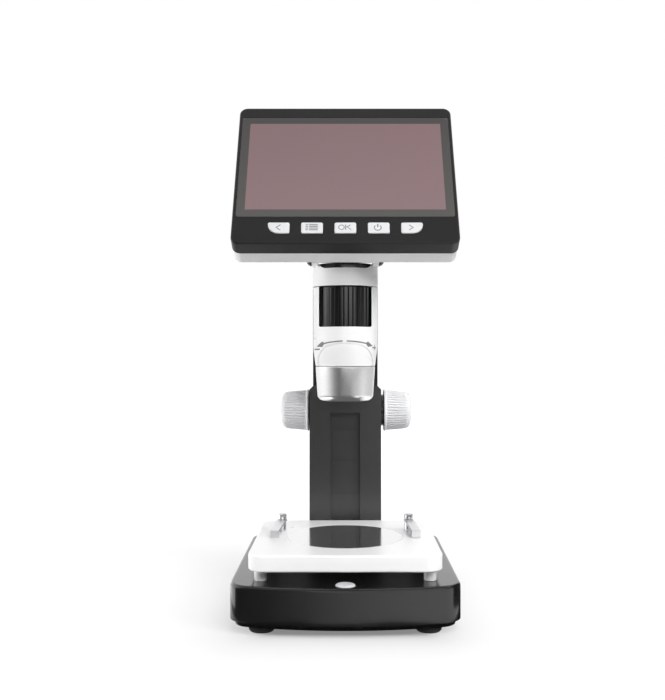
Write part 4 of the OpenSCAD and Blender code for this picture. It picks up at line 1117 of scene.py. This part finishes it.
def build_floor(keep, glow_and_painted_shadow_stops, paper_stops):
    """White table: it takes the object's shadow, shows a painted shadow near the object, and
    elsewhere shows as plain white.
    """
    me = bpy.data.meshes.new("table_top")
    bm = bmesh.new()
    bmesh.ops.create_grid(bm, x_segments=8, y_segments=8, size=6.0)
    bm.to_mesh(me)
    bm.free()
    floor = new_object("table_top", me)
    mat = bpy.data.materials.new("table_white")
    t = Tree(mat)
    # Distance from a rectangle a little inside the base
    beyond = t.vector("SUBTRACT", t.vector("ABSOLUTE", t.place()), (0.035, 0.055, 0.0))
    away = t.vector("LENGTH", t.vector("MAXIMUM", beyond, (0.0, 0.0, 0.0)), out="Value")
    paper = t.node("BsdfDiffuse", {"Color": t.greys(away, paper_stops)}).outputs[0]
    shadow = t.node("BsdfDiffuse", {"Color": (keep, keep, keep, 1)}).outputs[0]
    # Glow dimmer near the base: a painted shadow on the table
    glow = t.node("Emission", {"Color": t.greys(away, glow_and_painted_shadow_stops)}).outputs[0]
    shown = t.node("AddShader", {0: shadow, 1: glow}).outputs[0]
    t.node("OutputMaterial", {"Surface": ray_mix(t, paper, shown)})
    me.materials.append(mat)


def area(name, where, aim, size, power):
    """Rectangular lamp that reflections don't see."""
    light = bpy.data.lights.new(name, "AREA")
    light.shape = "RECTANGLE"
    light.size, light.size_y = size
    light.energy = power
    obj = new_object(name, light)
    obj.location = where
    obj.rotation_euler = (Vector(aim) - Vector(where)).to_track_quat("-Z", "Y").to_euler()
    obj.visible_glossy = False


def reflected(name, points, faces, mat):
    """Stage piece that only reflections see."""
    me = bpy.data.meshes.new(name)
    me.from_pydata(points, [], faces)
    me.materials.append(mat)
    obj = new_object(name, me)
    for ray in ("camera", "diffuse", "transmission", "shadow"):
        setattr(obj, "visible_" + ray, False)


def build_tent(wall_stops, table_stops):
    """Grey tent round the front and sides, graded by the angle from straight ahead."""
    radius, height, low, sides = 1.3, 0.7, 0.002, 40
    profile = [(0.085, low), (0.2, low), (0.5, low), (radius, low), (radius, height)]
    turns = [radians(-150 + 300 * i / sides) for i in range(sides + 1)]
    points = [(r * sin(a), -r * cos(a), z) for a in turns for r, z in profile]
    n = len(profile)
    starts = [i * n + k for i in range(sides) for k in range(n - 1)]
    mat = bpy.data.materials.new("tent_cloth")
    t = Tree(mat)
    spot = t.place()
    axes = t.node("SeparateXYZ", {0: spot}).outputs
    turn = t.math("ARCTAN2", axes["X"], t.math("MULTIPLY", axes["Y"], -1))
    place = t.remap(turn, -pi, pi)
    far = t.remap(t.vector("LENGTH", spot, out="Value"), 0.22, 0.5)
    table, wall = (
        t.greys(place, [(0.5 + a / 360, v / 2) for a, v in stops])
        for stops in (table_stops, wall_stops)
    )
    # Levels over 1 don't fit a colour ramp, so it holds half of them
    glow = t.node("Emission", {"Color": t.mix(far, table, wall), "Strength": 2.0})
    t.node("OutputMaterial", {"Surface": glow.outputs[0]})
    reflected("tent", points, [(j, j + 1, j + n + 1, j + n) for j in starts], mat)


def card(name, corners, shade):
    """Flat card of an even shade."""
    mat = bpy.data.materials.new(name)
    t = Tree(mat)
    glow = t.node("Emission", {"Color": (shade, shade, shade, 1)})
    t.node("OutputMaterial", {"Surface": glow.outputs[0]})
    reflected(name, corners, [(0, 1, 2, 3)], mat)


def level_card(name, corners, z, shade):
    card(name, [(x, y, z) for x, y in corners], shade)


def upright_card(name, a, b, low, high, shade):
    card(name, [(*a, low), (*b, low), (*b, high), (*a, high)], shade)


def build_cards():
    radius, low, high = 1.25, 0.195, 0.42
    rows = (
        # Name, angles from straight ahead in degrees, shade
        ("left_card", -108, -72, 2.8),
        ("dark_card", -66, -18, 0.05),
        ("front_card", -14, 40, 3.3),
        ("right_card", 50, 100, 0.15),
    )
    for name, *ends, shade in rows:
        turns = [radians(a) for a in ends]
        rim = [(radius * sin(a), -radius * cos(a)) for a in turns]
        upright_card(name, *rim, low, high, shade)
    rim_flag = [(-0.009, -0.008), (0.009, -0.008), (0.02, -0.062), (-0.02, -0.062)]
    level_card("rim_flag", rim_flag, 0.0965, 0.12)
    hem = [(-0.052, 0.095), (0.17, 0.095), (0.17, -0.0825), (-0.052, -0.0825)]
    level_card("hem", hem, 0.0015, 0.03)
    upright_card("dark_flag", (0.086, -0.061), (0.076, -0.01), 0.0016, 0.06, 0.05)
    upright_card("light_flag", (-0.085, -0.05), (-0.085, 0.07), 0.0016, 0.055, 2.0)
    ceiling = [(-0.9, -0.2), (0.9, -0.2), (0.9, -1.0), (-0.9, -1.0)]
    level_card("ceiling_card", ceiling, 1.2, 0.3)


def build_camera():
    cam = bpy.data.cameras.new("camera")
    obj = new_object("camera", cam)
    obj.location = (0, -0.4596, 0.125)
    obj.rotation_euler = (radians(90), 0, 0)
    cam.sensor_width = 36
    cam.lens = 46.29
    cam.shift_x = -0.0183
    cam.shift_y = 0.0086
    cam.clip_start = 0.01
    bpy.context.scene.camera = obj


# Brightness of the floor by distance from the object, as shown and as it lights it; the shown glow
# is lower near the object, a painted shadow
FLOOR_KEEP = 0.28
FLOOR_GLOW_AND_PAINTED_SHADOW = [(0.0, 0.24), (0.003, 0.38), (0.006, 0.5), (0.01, 0.56), (0.02, 0.64)]
FLOOR_GLOW_AND_PAINTED_SHADOW += [(0.035, 0.7), (0.08, 0.78), (0.3, 0.92), (0.6, 1.0)]
FLOOR_PAPER = [(0.0, 0.85), (0.1, 0.7), (0.3, 0.2)]
# Brightness of the tent's wall and of the table near the object, by angle from straight ahead
TENT_WALL = [(-150, 0.9), (-106, 1.1), (-84, 1.05), (-62, 0.72), (-43, 0.28), (-28, 0.1)]
TENT_WALL += [(-8, 0.02), (8, 0.0), (24, 0.07), (42, 0.3), (62, 0.66), (76, 0.84)]
TENT_WALL += [(95, 0.66), (150, 0.6)]
TENT_TABLE = [(-150, 0.9), (-90, 0.12), (-45, 0.07), (-30, 0.16), (-15, 0.46), (0, 0.85)]
TENT_TABLE += [(15, 1.1), (30, 1.3), (60, 1.4), (150, 1.2)]
LAMPS = (
    # Name, place, aim, size, watts
    ("key_light", (0.45, -1.1, 1.3), (0, 0, 0.12), (1.2, 1.2), 23),
    ("top_light", (0, -0.1, 1.4), (0, 0, 0.05), (1.4, 1.4), 4),
    ("left_light", (-1.3, -0.05, 0.1), (0, 0, 0.12), (0.6, 0.2), 11),
    ("back_light", (0.25, 1.4, 0.4), (0, 0, 0.13), (0.9, 0.5), 8),
    ("right_light", (1.2, -0.75, 0.85), (0, 0, 0.12), (0.5, 0.5), 11),
)

dress_nodes()
build_base()
build_stage()
build_column()
build_drive()
build_post()
build_shell()
build_collar()
build_rings()
build_prints()
build_screen()

build_camera()
build_world(0.12)
build_floor(FLOOR_KEEP, FLOOR_GLOW_AND_PAINTED_SHADOW, FLOOR_PAPER)
for lamp in LAMPS:
    area(*lamp)
build_tent(TENT_WALL, TENT_TABLE)
build_cards()

bpy.context.scene.view_settings.view_transform = "Standard"
